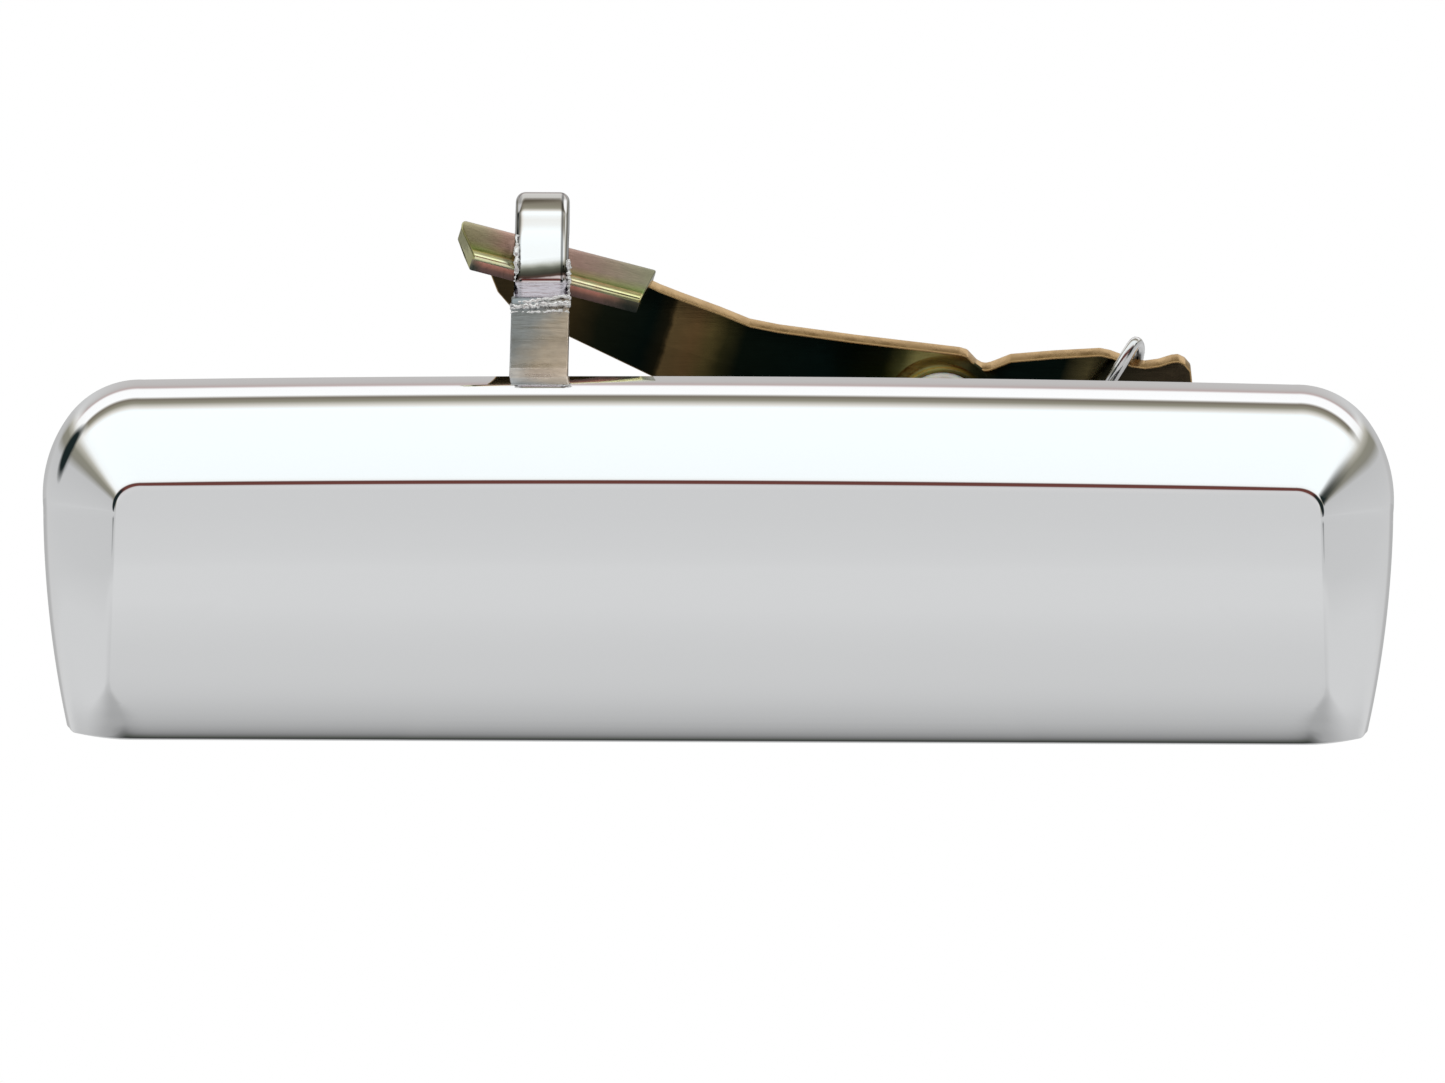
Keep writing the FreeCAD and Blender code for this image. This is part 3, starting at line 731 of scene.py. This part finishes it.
def face_points(before, corner, after, middle, kind, inset):
    """Points round the softened crease and in over the main face, as far as its middle line."""
    w = smoothstep(1, 1.35, kind)
    points = []
    for k in range(7):
        t = k / 6
        p = before * (1 - t) ** 2 + corner * 2 * t * (1 - t) + after * t * t
        if w:
            p.y += (foot_surface(p.x, p.z, inset) + DEEPEN * inset - p.y) * w
        points.append(tuple(p))
    for t in (0.03, 0.07, 0.12, 0.2, 0.3, 0.42, 0.56, 0.7, 0.85, 1):
        x = after.x + (middle[0] - after.x) * t
        z = after.z + (middle[1] - after.z) * t
        y = smooth_depth(z) * (1 - w) + (foot_surface(x, z, inset) * w if w else 0)
        points.append((x, y + DEEPEN * inset, z))
    return points


def flap_rings(inset):
    """Rings of the shell from its back rim to the crease and in over the main face."""
    perimeter = full_perimeter()
    outline = [back for back, _, _ in perimeter]
    normals = outward(outline[::-1])[::-1]
    outer_parts, face_parts = [], []
    for (back, crease, kind), normal in zip(perimeter, normals):
        rim = (back[0] - normal[0] * inset, back[1] - normal[1] * inset)
        face_y = smooth_depth(crease[1]) + DEEPEN * inset
        if inset:
            crease = inner_crease(crease, kind, inset)
            rim = inner_rim(rim, kind)
        if kind <= 1:
            column = rim_column(rim, crease, face_y, kind, inset)
        else:
            column = foot_column(rim, crease, back[0], kind, inset)
        corner = Vector(column[-1])
        before = corner + (Vector(column[-2]) - corner).normalized() * CREASE_REACH
        middle = (copysign(min(abs(crease[0]), 56) * 0.98, crease[0]) if crease[0] else 0, FACE_MIDDLE)
        inward = Vector((middle[0] - crease[0], middle[1] - crease[1])).normalized()
        x, z = crease[0] + inward[0] * CREASE_REACH, crease[1] + inward[1] * CREASE_REACH
        after = Vector((x, smooth_depth(z) + DEEPEN * inset, z))
        outer_parts.append([p for p in column[:-1] if (Vector(p) - corner).length > CREASE_GAP])
        face_parts.append(face_points(before, corner, after, middle, kind, inset))
    shortest = min(len(part) for part in outer_parts)
    columns = [resampled(part, shortest) + face for part, face in zip(outer_parts, face_parts)]
    return [[column[k] for column in columns] for k in range(len(columns[0]))]


def join_middle(first, count):
    """Faces across the innermost ring, a flat loop either side of a line: a triangle at each end and
    four-sided faces between them."""
    faces = []
    for k in range(count // 2):
        a, b = first + k, first + k + 1
        c, d = first + (count - k - 1) % count, first + (count - k) % count
        faces.append(tuple(dict.fromkeys((a, b, c, d))))
    return faces


def build_flap():
    vertices, faces, slots = [], [], []
    outer, inner = flap_rings(0), flap_rings(WALL)
    count = len(outer[0])
    for slot, rings in enumerate((outer, inner)):
        base = len(vertices)
        for ring in rings:
            vertices += ring
        for k in range(len(rings) - 1):
            faces += ring_faces(base + k * count, base + (k + 1) * count, count)
        faces += join_middle(base + (len(rings) - 1) * count, count)
        slots += [slot] * (len(faces) - len(slots))
    second = len(outer) * count
    faces += [(i, second + i, second + (i + 1) % count, (i + 1) % count) for i in range(count)]
    slots += [0] * count
    obj = make_object("flap_shell", vertices, faces, [CHROME, CHROME_INSIDE], slots)
    with mesh_edit(obj) as work:
        bmesh.ops.remove_doubles(work, verts=work.verts, dist=WELD)
        bmesh.ops.recalc_face_normals(work, faces=work.faces)
    auto_smooth(obj, 48)
    on_flap(obj)


# --- inside of the flap, finger ---

HINGE = (-5.5, 14)
LUG = [
    (-9.4, 11.6), (-16, 11.5), (-12.4, 16.2), (-9.8, 18.4), (-3.2, 19.4), (-1.6, 14), (-2.6, 11), (-5.5, 10)]
LUG_THICKNESS, RIB_THICKNESS, SHELF_WIDTH = 4, 1.8, 6


def along_x(start):
    """Places (y, z, depth) in the row's axes, with the depth running right from start."""
    return lambda y, z, depth: (start + depth, y, z)


def build_hinge_lugs():
    side = rounded(LUG, [0.8, 0.3, 0.3, 0.3, 0.3, 2, 2.4, 2.4])
    for tag, start in (("left", -44), ("right", 40)):
        lug = slab("hinge_lug_" + tag, side, 0, LUG_THICKNESS, along_x(start), 0.3, [CHROME_INSIDE])
        drill(lug, (start + LUG_THICKNESS / 2, *HINGE), (1, 0, 0), 3, 2 * LUG_THICKNESS)
        on_flap(lug)


def build_bump_posts():
    profile = [(3.3, 0), (3, 1.5), (2.9, 10.7), (2.7, 11.1), (2.3, 11.3)]
    for tag, sign in (("left", -1), ("right", 1)):
        post = turned("bump_post_" + tag, profile, (sign * 62, -18.3, -9.5), (0, 1, 0), [CHROME_INSIDE])
        on_flap(post)


def build_ribs():
    side = rounded([(-18.2, 4), (-12.8, 4), (-12.6, 9.2), (-17.6, 9.2)], 0.6)
    for index, x in enumerate((-52, -30, 22, 52)):
        place = along_x(x - RIB_THICKNESS / 2)
        rib = slab("inner_rib_%d" % (index + 1), side, 0, RIB_THICKNESS, place, 0.35, [CHROME_INSIDE])
        on_flap(rib)


def build_spring_shelf():
    side = rounded([(-18.2, 6), (-13.4, 6.2), (-13.4, 7.8), (-18, 7.8)], 0.5)
    shelf = slab("spring_shelf", side, 0, SHELF_WIDTH, along_x(-1), 0.35, [CHROME_INSIDE])
    on_flap(shelf)


# Side views of the finger and of the arm that carries it: y and z in mm.
FINGER = [
    (11.5, 29.8), (11.5, 31), (11.5, 31.85), (11.53, 32.1), (11.63, 32.35), (11.88, 32.8), (12.2, 33.3),
    (12.62, 33.9), (13.15, 34.6), (15.2, 37.4), (17.4, 39.7), (18.3, 40.6), (20.2, 41.85), (21.6, 42.45),
    (22.9, 42.65), (23.9, 42.35), (24.7, 41.5), (24.8, 40), (23.9, 38.5), (22.4, 37.3), (20.9, 36.65),
    (19.4, 36.7), (18.2, 37), (17.1, 36.4), (16.3, 35), (15.9, 33), (15.8, 29.8)]
ARM = [
    (-6.4, 19.4), (-3.4, 20.6), (0, 21.7), (4.6, 24.9), (8.8, 28.1), (10.6, 29.4), (11.2, 30.2),
    (15.6, 30.2), (15.2, 29), (12.2, 25.4), (7, 20.8), (1, 17.7), (-2.6, 17.3), (-6.4, 17.4)]
BEAD_SIDES = 9
# Rings that tube adds ahead of the path's own.
BEAD_END_RINGS = len(TUBE_ENDS)
FINGER_LEFT, FINGER_RIGHT = -24, -17.5
FINGER_MIDDLE = -20.7
# Rows of flash along the finger's foot: y, z at its middle, rise over 3.2 mm, thinnest and thickest radius.
FOOT_FLASH = [(11, 29.75, 0.5, 0.24, 0.42), (10.05, 29.1, 0.25, 0.36, 0.62), (9.3, 28.35, 0.1, 0.16, 0.3)]


def ragged_bead(name, path, low, high, jitter):
    """Irregular ridge of casting flash, between these two radii."""
    points = catmull(path, 5)
    points = [tuple(c + random.uniform(-jitter, jitter) for c in p) for p in points]
    obj = tube(name, points, 1, [FLASH], BEAD_SIDES)
    centres = [Vector(p) for p in points]
    sizes = [random.uniform(low, high) for _ in points]
    for ring in range(len(obj.data.vertices) // BEAD_SIDES):
        index = min(max(ring - BEAD_END_RINGS, 0), len(centres) - 1)
        centre = centres[index] * MM
        flat = random.uniform(0.55, 1)
        for k in range(BEAD_SIDES):
            vertex = obj.data.vertices[ring * BEAD_SIDES + k]
            offset = (vertex.co - centre) * sizes[index] * random.uniform(0.9, 1.1)
            offset.z *= flat
            vertex.co = centre + offset
    on_flap(obj)


def finger_slot(y, z, depth):
    """Material slot of the finger: its machined ledge, or chrome."""
    return 1 if z < 31.9 and y < 12 else 0


def build_finger():
    outline = catmull(FINGER[:-1], 4) + [FINGER[-1]]
    finger = slab("finger", outline, 0, 6.3, along_x(-23.82), 1.15, [CHROME_FINGER, LEDGE], 9, finger_slot)
    on_flap(finger)
    arm = slab("finger_arm", rounded(ARM, 1.2, 4), 0, 6.7, along_x(-24.1), 0.22, [SATIN_AND_PAINTED_REFLECTION])
    on_flap(arm)


def build_flash():
    """Beads of flash up both sides of the finger and in rows along its foot."""
    bottom, steps = 29.2, 9
    for tag, x, top in (("left", -23.55, 37.4), ("right", FINGER_RIGHT, 34.4)):
        heights = [bottom + (top - bottom) * k / steps for k in range(steps + 1)]
        path = [(x, 12.4 + max(z - 34, 0) * 0.9, z) for z in heights]
        ragged_bead("flash_" + tag, path, 0.1, 0.36, 0.1)
    for row, (y, z, rise, low, high) in enumerate(FOOT_FLASH):
        places = (FINGER_LEFT, -22.9, -21.8, FINGER_MIDDLE, -19.6, -18.5, FINGER_RIGHT)
        path = [(x, y, z + rise * (x - FINGER_MIDDLE) / 3.2) for x in places]
        ragged_bead("flash_foot_%d" % (row + 1), path, low, high, 0.13)


# --- lever ---

PIVOT = Vector((26.3, 34, 18))
LEAN = radians(30)
COS, SIN = cos(LEAN), sin(LEAN)
SHEET = 2


def to_row(u, v, w):
    """Lever's own axes (u right, v up the sheet, w out of its front face) to the row's."""
    return (PIVOT.x + u, PIVOT.y - v * SIN - w * COS, PIVOT.z + v * COS - w * SIN)


FRONT = (0, -COS, -SIN)

# Outline of the lever's sheet about its pivot, left to right along the top and back along the bottom.
LEVER_UPPER = [
    (-33.3, 15.2), (-30.8, 14.1), (-26.2, 12.2), (-22.7, 10.6), (-19.3, 9.85), (-10.3, 8.5), (2, 6.9),
    (2.9, 6.6), (4, 5.3), (4.6, 4.9), (5.1, 4.8), (5.7, 4.95), (8, 6), (13, 6.5), (18.5, 6.87), (19.7, 6.6),
    (20.8, 6.15), (22.2, 5.45), (23.8, 5.2), (25.4, 5.45), (26.9, 6), (27.7, 6.1), (28.5, 5.66),
    (29.2, 4.75), (29.45, 2.6)]
LEVER_LOWER = [
    (29.2, -2.4), (27.6, -5), (24.4, -6.2), (18, -6.8), (9.8, -7.4), (6.6, -8.7), (2.4, -9.7), (-2.4, -9.7),
    (-6.6, -8.9), (-9.8, -7.6), (-16, -5.2), (-34.4, 3.85), (-43.7, 8.9), (-50.7, 12.9), (-52.3, 15),
    (-53.1, 17.3), (-53.6, 19.6), (-53.3, 21.3), (-34.4, 15.8)]
ROD_HOLE = (24.4, -1.2)
SLOPE = radians(16.2)
FLANGE_LENGTH, FLANGE_DEPTH, FLANGE_FRONT = 22, 8, 6.25


def on_flange(x, y, w):
    """Flange's own axes (x along its root, y out of its top face) to the row's."""
    u = -55 + x * cos(SLOPE) + y * sin(SLOPE)
    v = 23.4 - x * sin(SLOPE) + y * cos(SLOPE)
    return to_row(u, v, w)


def flange_left(w):
    """Left end of the flange, w in front of the lever's sheet: askew, its back corner rounded."""
    u = min(max((1.5 - w) / 3.5, 0), 1)
    return -2.2 + 2.3 * (w + SHEET) / FLANGE_DEPTH + 1.6 * (1 - sqrt(1 - u * u))


def flange_right(w):
    """Right end of the flange, cut askew."""
    return 22.3 - 1.85 * (w + SHEET) / FLANGE_DEPTH


def place_flange(w, y, depth):
    left, right = flange_left(w), flange_right(w)
    return on_flange(left + (right - left) * depth / FLANGE_LENGTH, y, w)


def flange_slot(w, y, depth):
    """Material slot of the flange: its sheared front edge, its left end, or the rest."""
    if w > FLANGE_FRONT - 0.05 and y < -0.5:
        return 1
    return 2 if depth < 0.2 else 0


def web_slot(u, v, w):
    """Material slot of the sheet: film with painted reflections on both faces, sheared metal round its edge.
    """
    return 0 if w in (-SHEET, 0) else 1


def build_lever_web():
    outline = rounded(LEVER_UPPER + LEVER_LOWER, 0.7, 4)
    web = slab("lever_web", outline, -SHEET, 0, to_row, 0.16, [LEVER_WEB, SHEARED_GOLD], 4, web_slot)
    drill(web, to_row(0, 0, -SHEET / 2), FRONT, 3.5, 4 * SHEET)
    drill(web, to_row(*ROD_HOLE, -SHEET / 2), FRONT, 2.5, 4 * SHEET)
    finish_piece(web, "lever", "lever_plate")
    profile = [(4.75, -0.3), (4.8, 0.1), (5.1, 0.27), (5.5, 0.32), (5.9, 0.24), (6.3, 0.09), (6.7, 0.02),
               (6.8, -0.3)]
    ring = turned("pivot_emboss", profile, PIVOT, FRONT, [LEVER_WEB], 64, True)
    finish_piece(ring, "lever", "lever_plate")


def build_flange():
    root_w, root_y, root_radius = -1.3, -0.76, 0.75
    section = [(-2.05, -1.95), (-2.05, -1.2)]
    for k in range(7):
        angle = radians(90 * k / 6)
        section.append((root_w - root_radius * cos(angle), root_y + root_radius * sin(angle)))
    section += [(w, 0) for w in (-0.9, 0, 0.7, 1.5, 2.4, 4.2, 5.7)]
    section += [(5.95, -0.05), (6.14, -0.17)]
    section += [(FLANGE_FRONT, y) for y in (-0.36, -0.62, -1.1, -1.85)]
    section += [(6.2, -2.05), (6, -2.15), (3.5, -2.1), (0, -2), (-1.5, -2)]
    materials = [LEVER_FLANGE, SHEARED_RED, FLANGE_END]
    flange = slab("lever_flange", section, 0, FLANGE_LENGTH, place_flange, 0.25, materials, 4, flange_slot)
    finish_piece(flange, "lever", "lever_plate")


def build_bush():
    profile = [(2.07, -2), (3.4, -2), (3.5, -1.9), (3.5, -0.05), (4.45, 0.02), (4.6, 0.2), (4.6, 0.75),
               (4.45, 0.95), (4.2, 1), (2.2, 1), (2.07, 0.9)]
    bush = turned("lever_bush_body", profile, PIVOT, FRONT, [NYLON], 56, True)
    finish_piece(bush, "lever", "lever_bush")


def build_rivet():
    back = -5.25
    profile = [(0.6, back - 1.32), (2.2, back - 1.25), (3, back - 1), (3.3, back - 0.55), (3.3, back),
               (2, back), (2, 1.06), (3.8, 1.06), (3.8, 1.5), (3.5, 1.95), (2.8, 2.25), (1.6, 2.42),
               (0.5, 2.45)]
    rivet = turned("rivet_body", profile, PIVOT, FRONT, [ZINC])
    finish_piece(rivet, "base", "pivot_rivet")


def build_washer():
    low, high, chamfer = -3.25, -2.05, 0.15
    profile = [(2, low), (5.85, low), (6, low + chamfer), (6, high - chamfer), (5.85, high), (2, high)]
    washer = turned("washer_body", profile, PIVOT, FRONT, [ZINC], 48, True)
    finish_piece(washer, "base", "pivot_washer")


# --- springs ---


def coil(centre, pitch, across, third, radius, start, per_turn, count):
    """Points round a coil. centre is its first middle and pitch its advance in one turn; across and third
    span its section, and start is the angle of its first point."""
    points = []
    for index in range(count):
        angle = start + 2 * pi * index / per_turn
        offset = across * (radius * cos(angle)) + third * (radius * sin(angle))
        points.append(tuple(centre + pitch * (index / per_turn) + offset))
    return points


def build_lever_spring():
    hook_hole = Vector(to_row(17.5, -2, 4.8))
    anchor = Vector((33, 29, 0.3))
    axis = (hook_hole - anchor).normalized()
    across = axis.cross(Vector((0, 1, 0))).normalized()
    first = anchor + axis * 5.2
    lower_hook = [(30.7, 28.6, 1.9), (30.9, 28.8, 0.5), (32.6, 29.1, -0.2), (35.2, 29.2, -0.1)]
    turns = coil(first, axis * 1.52, across, axis.cross(across), 2.6, pi, 12, 91)
    upper_hook = [(17.5, 1.6, 3.9), (19.84, 5.3, 2.8), (21, 6.9, 1.9), (21.9, 7.95, 0.8), (22.65, 8.25, -0.6),
                  (23.1, 6.2, -2.9), (22.9, 4.2, -3.4), (22.6, 2.4, -3.2)]
    upper_hook = [to_row(*p) for p in upper_hook]
    wire = tube("lever_spring_wire", catmull(lower_hook + turns + upper_hook, 4), 0.75, [WIRE], 14)
    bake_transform(wire)
    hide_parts("lever_spring")


def build_flap_spring():
    left_leg = [(1, -15.4, 8.7), (1.6, -12.2, 9.6)]
    turns = coil(Vector((2.6, *HINGE)), Vector((1.7, 0, 0)), Vector((0, 1, 0)), Vector((0, 0, -1)), 3.1,
                 radians(-200), 14, 89)
    right_leg = [(14.8, -1.7, 12.4), (16.2, -1.75, 10.2)]
    wire = tube("flap_spring_wire", catmull(left_leg + turns + right_leg, 3), 0.7, [WIRE], 14)
    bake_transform(wire)
    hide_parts("flap_spring")


# --- studs ---


STUD_X = 58
THREAD_RADIUS, THREAD_DEPTH, THREAD_PITCH = 3, 0.58, 1
THREAD_START, THREAD_LENGTH = 0.2, 15.8


def thread_radius(y, share):
    """Radius of the thread at depth y and this share of a turn; faded at both ends, narrower at its tip."""
    ends = smoothstep(0.2, 0.9, y) * (1 - smoothstep(15, 16, y))
    phase = (y / THREAD_PITCH - share) % 1
    tooth = min(abs(phase - 0.5) * 2.6, 1)
    return THREAD_RADIUS - THREAD_DEPTH * (1 - tooth * ends) - 0.35 * smoothstep(15.3, 16, y)


def build_stud(tag, sign):
    """Headed stud with a rolled M6 thread."""
    x = sign * STUD_X
    profile = [(0.5, -4.7), (5.2, -4.7), (5.4, -4.5), (5.4, -3.35), (5.25, -3.2), (4.2, -3.2), (4.2, -0.02),
               (2.5, -0.01), (2.5, 1.2)]
    body = turned("stud_body_" + tag, profile, (x, 0, 0), (0, 1, 0), [ZINC])
    finish_piece(body, "base", "mounting_stud_" + tag)
    segments, per_turn = 36, 10
    rings = int(THREAD_LENGTH * per_turn)
    vertices = []
    for ring in range(rings + 1):
        y = THREAD_START + THREAD_LENGTH * ring / rings
        for k in range(segments):
            angle = 2 * pi * k / segments
            radius = thread_radius(y, k / segments)
            vertices.append((x + radius * cos(angle), y, radius * sin(angle)))
    thread = make_object("stud_thread_" + tag, vertices, skin(rings + 1, segments), [ZINC])
    auto_smooth(thread, 50)
    finish_piece(thread, "base", "mounting_stud_" + tag)


build_flap()
build_hinge_lugs()
build_bump_posts()
build_ribs()
build_spring_shelf()
build_finger()
build_flash()
build_lever_web()
build_flange()
build_bush()
build_rivet()
build_washer()
build_lever_spring()
build_flap_spring()
build_stud("left", -1)
build_stud("right", 1)

# --- camera, light, floor ---

DISTANCE = 1.4
AIM_X, AIM_Z = 0.0005, 0.0019
ROLL = 0.0044
SENSOR = 36
# Width of the scene across the picture, at the handle's depth.
VIEW_WIDTH = 0.11464 * 1445 / 1395.5


def add_camera():
    data = bpy.data.cameras.new("camera")
    data.sensor_width = SENSOR
    data.lens = SENSOR / VIEW_WIDTH
    data.clip_start, data.clip_end = 0.01, 20
    camera = new_object("camera", data)
    turn = Matrix.Rotation(radians(90), 4, "X") @ Matrix.Rotation(ROLL, 4, "Z")
    camera.matrix_world = Matrix.Translation((AIM_X, -DISTANCE, AIM_Z)) @ turn
    bpy.context.scene.camera = camera


def fade(tree, value, start, end):
    """Black below start, white above end."""
    return ramp(tree, value, [(start, 0), (end, 1)])


# Studio seen from the object, by elevation in degrees round the left-right axis: 0 towards the camera,
# 90 overhead, 180 behind, -90 below.
STUDIO = [
    (-180, 0.45), (-150, 0.62), (-128, 0.1), (-108, (0.035, 0.04, 0.035)), (-85, (0.125, 0.13, 0.12)),
    (-75, 0.19), (-64, 0.28), (-52, 0.37), (-40, 0.46), (-24, 0.6), (-12, 0.69), (0, 0.69), (8, 0.64),
    (15, (0.69, 0.68, 0.68)), (24, (0.62, 0.6, 0.6)), (30, (0.16, 0.055, 0.045)),
    (50, (0.13, 0.045, 0.038)), (58, (0.93, 0.95, 0.94)), (86, (1.05, 1.12, 1.14)), (95, (0.8, 0.77, 0.72)),
    (108, (0.3, 0.285, 0.225)), (119, (0.19, 0.165, 0.13)), (123, (0.6, 0.58, 0.55)), (126, 1.05),
    (148, (1.02, 1.02, 1.02)), (153, (0.5, 0.4, 0.39)), (157, (0.52, 0.5, 0.49)), (165, 0.62), (175, 0.5)]

# Walls at either side, by how far a direction turns out of the camera's plane: 0 in it, 1 straight sideways.
SIDE_WALL = [
    (0.54, (0.95, 0.95, 0.93)), (0.6, (0.5, 0.48, 0.42)), (0.64, (0.27, 0.26, 0.21)),
    (0.685, (0.26, 0.25, 0.21)), (0.75, 0.55), (0.9, 0.58), (1, 0.6)]

# The same walls below the horizon, by height: 0 straight down, 0.5 level.
LOW_WALL = [
    (0.04, 0.16), (0.12, 0.37), (0.2, 0.46), (0.28, 0.54), (0.36, 0.61), (0.42, 0.66)]

# Dark objects in the studio, seen in the flap's corners: azimuth from overhead and tilt from the camera in
# degrees, then the cosines at which the dark begins and is complete.
DARK_SPOTS = [
    (-62, 112, 0.952, 0.985), (56, 77, 0.979, 0.995), (-58, 46, 0.945, 0.975), (58, 46, 0.945, 0.975)]
SPOT_COLOUR = (0.012, 0.02, 0.02)
BACKDROP = (1, 1, 1)
DIFFUSE_LIGHT = (0.85, 0.85, 0.85)


def studio_colour(tree, direction):
    """Colour of the studio in a direction: STUDIO along the middle, the walls at either side."""
    x, y, z = add(tree, "SeparateXYZ", {0: direction}).outputs
    angle = maths(tree, "ARCTAN2", z, maths(tree, "MULTIPLY", y, -1))
    turn = maths(tree, "MULTIPLY_ADD", angle, 1 / (2 * pi), 0.5)
    studio = ramp(tree, turn, [((a + 180) / 360, c) for a, c in STUDIO])
    side = maths(tree, "ABSOLUTE", x)
    lateral = maths(tree, "ARCTAN2", side, maths(tree, "ABSOLUTE", z))
    share = maths(tree, "MULTIPLY", lateral, 2 / pi)
    height = maths(tree, "MULTIPLY_ADD", z, 0.5, 0.5)
    above = fade(tree, height, 0.45, 0.5)
    wall = mix(tree, above, ramp(tree, height, LOW_WALL), ramp(tree, share, SIDE_WALL))
    turned_out = mix(tree, above, fade(tree, share, 0.2, 0.38), fade(tree, share, 0.46, 0.6))
    edge = maths(tree, "MULTIPLY", fade(tree, side, 0.22, 0.4), turned_out)
    return mix(tree, edge, studio, wall)


def add_world():
    """Studio for reflections, plain white for the camera and even light for dull surfaces."""
    world = bpy.data.worlds.new("studio")
    world.use_nodes = True
    bpy.context.scene.world = world
    tree = world.node_tree
    direction = add(tree, "TexCoord", {}).outputs["Generated"]
    colour = studio_colour(tree, direction)
    for azimuth, tilt, inner, outer in DARK_SPOTS:
        azimuth, tilt = radians(azimuth), radians(tilt)
        middle = (sin(tilt) * sin(azimuth), -cos(tilt), sin(tilt) * cos(azimuth))
        dark = fade(tree, dot(tree, direction, middle), inner, outer)
        colour = mix(tree, dark, colour, SPOT_COLOUR)
    path = add(tree, "LightPath", {}).outputs
    colour = mix(tree, path["Is Camera Ray"], colour, BACKDROP)
    colour = mix(tree, path["Is Diffuse Ray"], colour, DIFFUSE_LIGHT)
    plug(tree.nodes["Background"], {"Color": colour})


# The floor, in metres.
FLOOR_LEFT, FLOOR_RIGHT, FLOOR_FRONT, FLOOR_BACK, FLOOR_HEIGHT = -0.6, 0.6, -0.45, 0.075, -0.078


def add_floor():
    mesh = bpy.data.meshes.new("floor")
    corners = [(FLOOR_LEFT, FLOOR_FRONT), (FLOOR_RIGHT, FLOOR_FRONT), (FLOOR_RIGHT, FLOOR_BACK),
               (FLOOR_LEFT, FLOOR_BACK)]
    mesh.from_pydata([(x, y, FLOOR_HEIGHT) for x, y in corners], [], [(0, 1, 2, 3)])
    floor = new_object("floor", mesh)
    floor.data.materials.append(plastic("floor", (0.8, 0.8, 0.8), 0.8, 0))
    floor.visible_glossy = False


add_camera()
add_world()
add_floor()
bpy.context.scene.view_settings.view_transform = "Standard"

# --- finish the remaining CAD nodes ---

# CAD pieces whose shape is already right: material, and how far their edges are softened in mm.
KEPT = {
    "base_yoke": (CAST, 0.45), "hinge_pin": (STEEL, 0.15), "lever_bracket": (YELLOW, 0.3),
    "gasket_left": (RUBBER, 0.2), "gasket_right": (RUBBER, 0.2), "pin_clip_left": (BLACK_STEEL, 0.1),
    "pin_clip_right": (BLACK_STEEL, 0.1), "bump_stop_left": (RUBBER, 0), "bump_stop_right": (RUBBER, 0),
    "flap_bush_left": (NYLON, 0.12), "flap_bush_right": (NYLON, 0.12), "lock_washer_left": (ZINC, 0.1),
    "lock_washer_right": (ZINC, 0.1), "bracket_screw_left": (ZINC, 0.1), "bracket_screw_right": (ZINC, 0.1)}


def keep_node(node, material, softness):
    """Finish for a piece whose shape is already right: its material, and softened edges."""
    node.data.materials.clear()
    node.data.materials.append(material)
    if softness:
        weld = node.modifiers.new("weld", "WELD")
        weld.merge_threshold = 0.001 * MM
        soft = node.modifiers.new("soft", "BEVEL")
        soft.width = softness * MM
        soft.segments = 2
        soft.limit_method = "ANGLE"
        soft.angle_limit = radians(40)


for node_name, (material, softness) in KEPT.items():
    keep_node(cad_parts[node_name], material, softness)
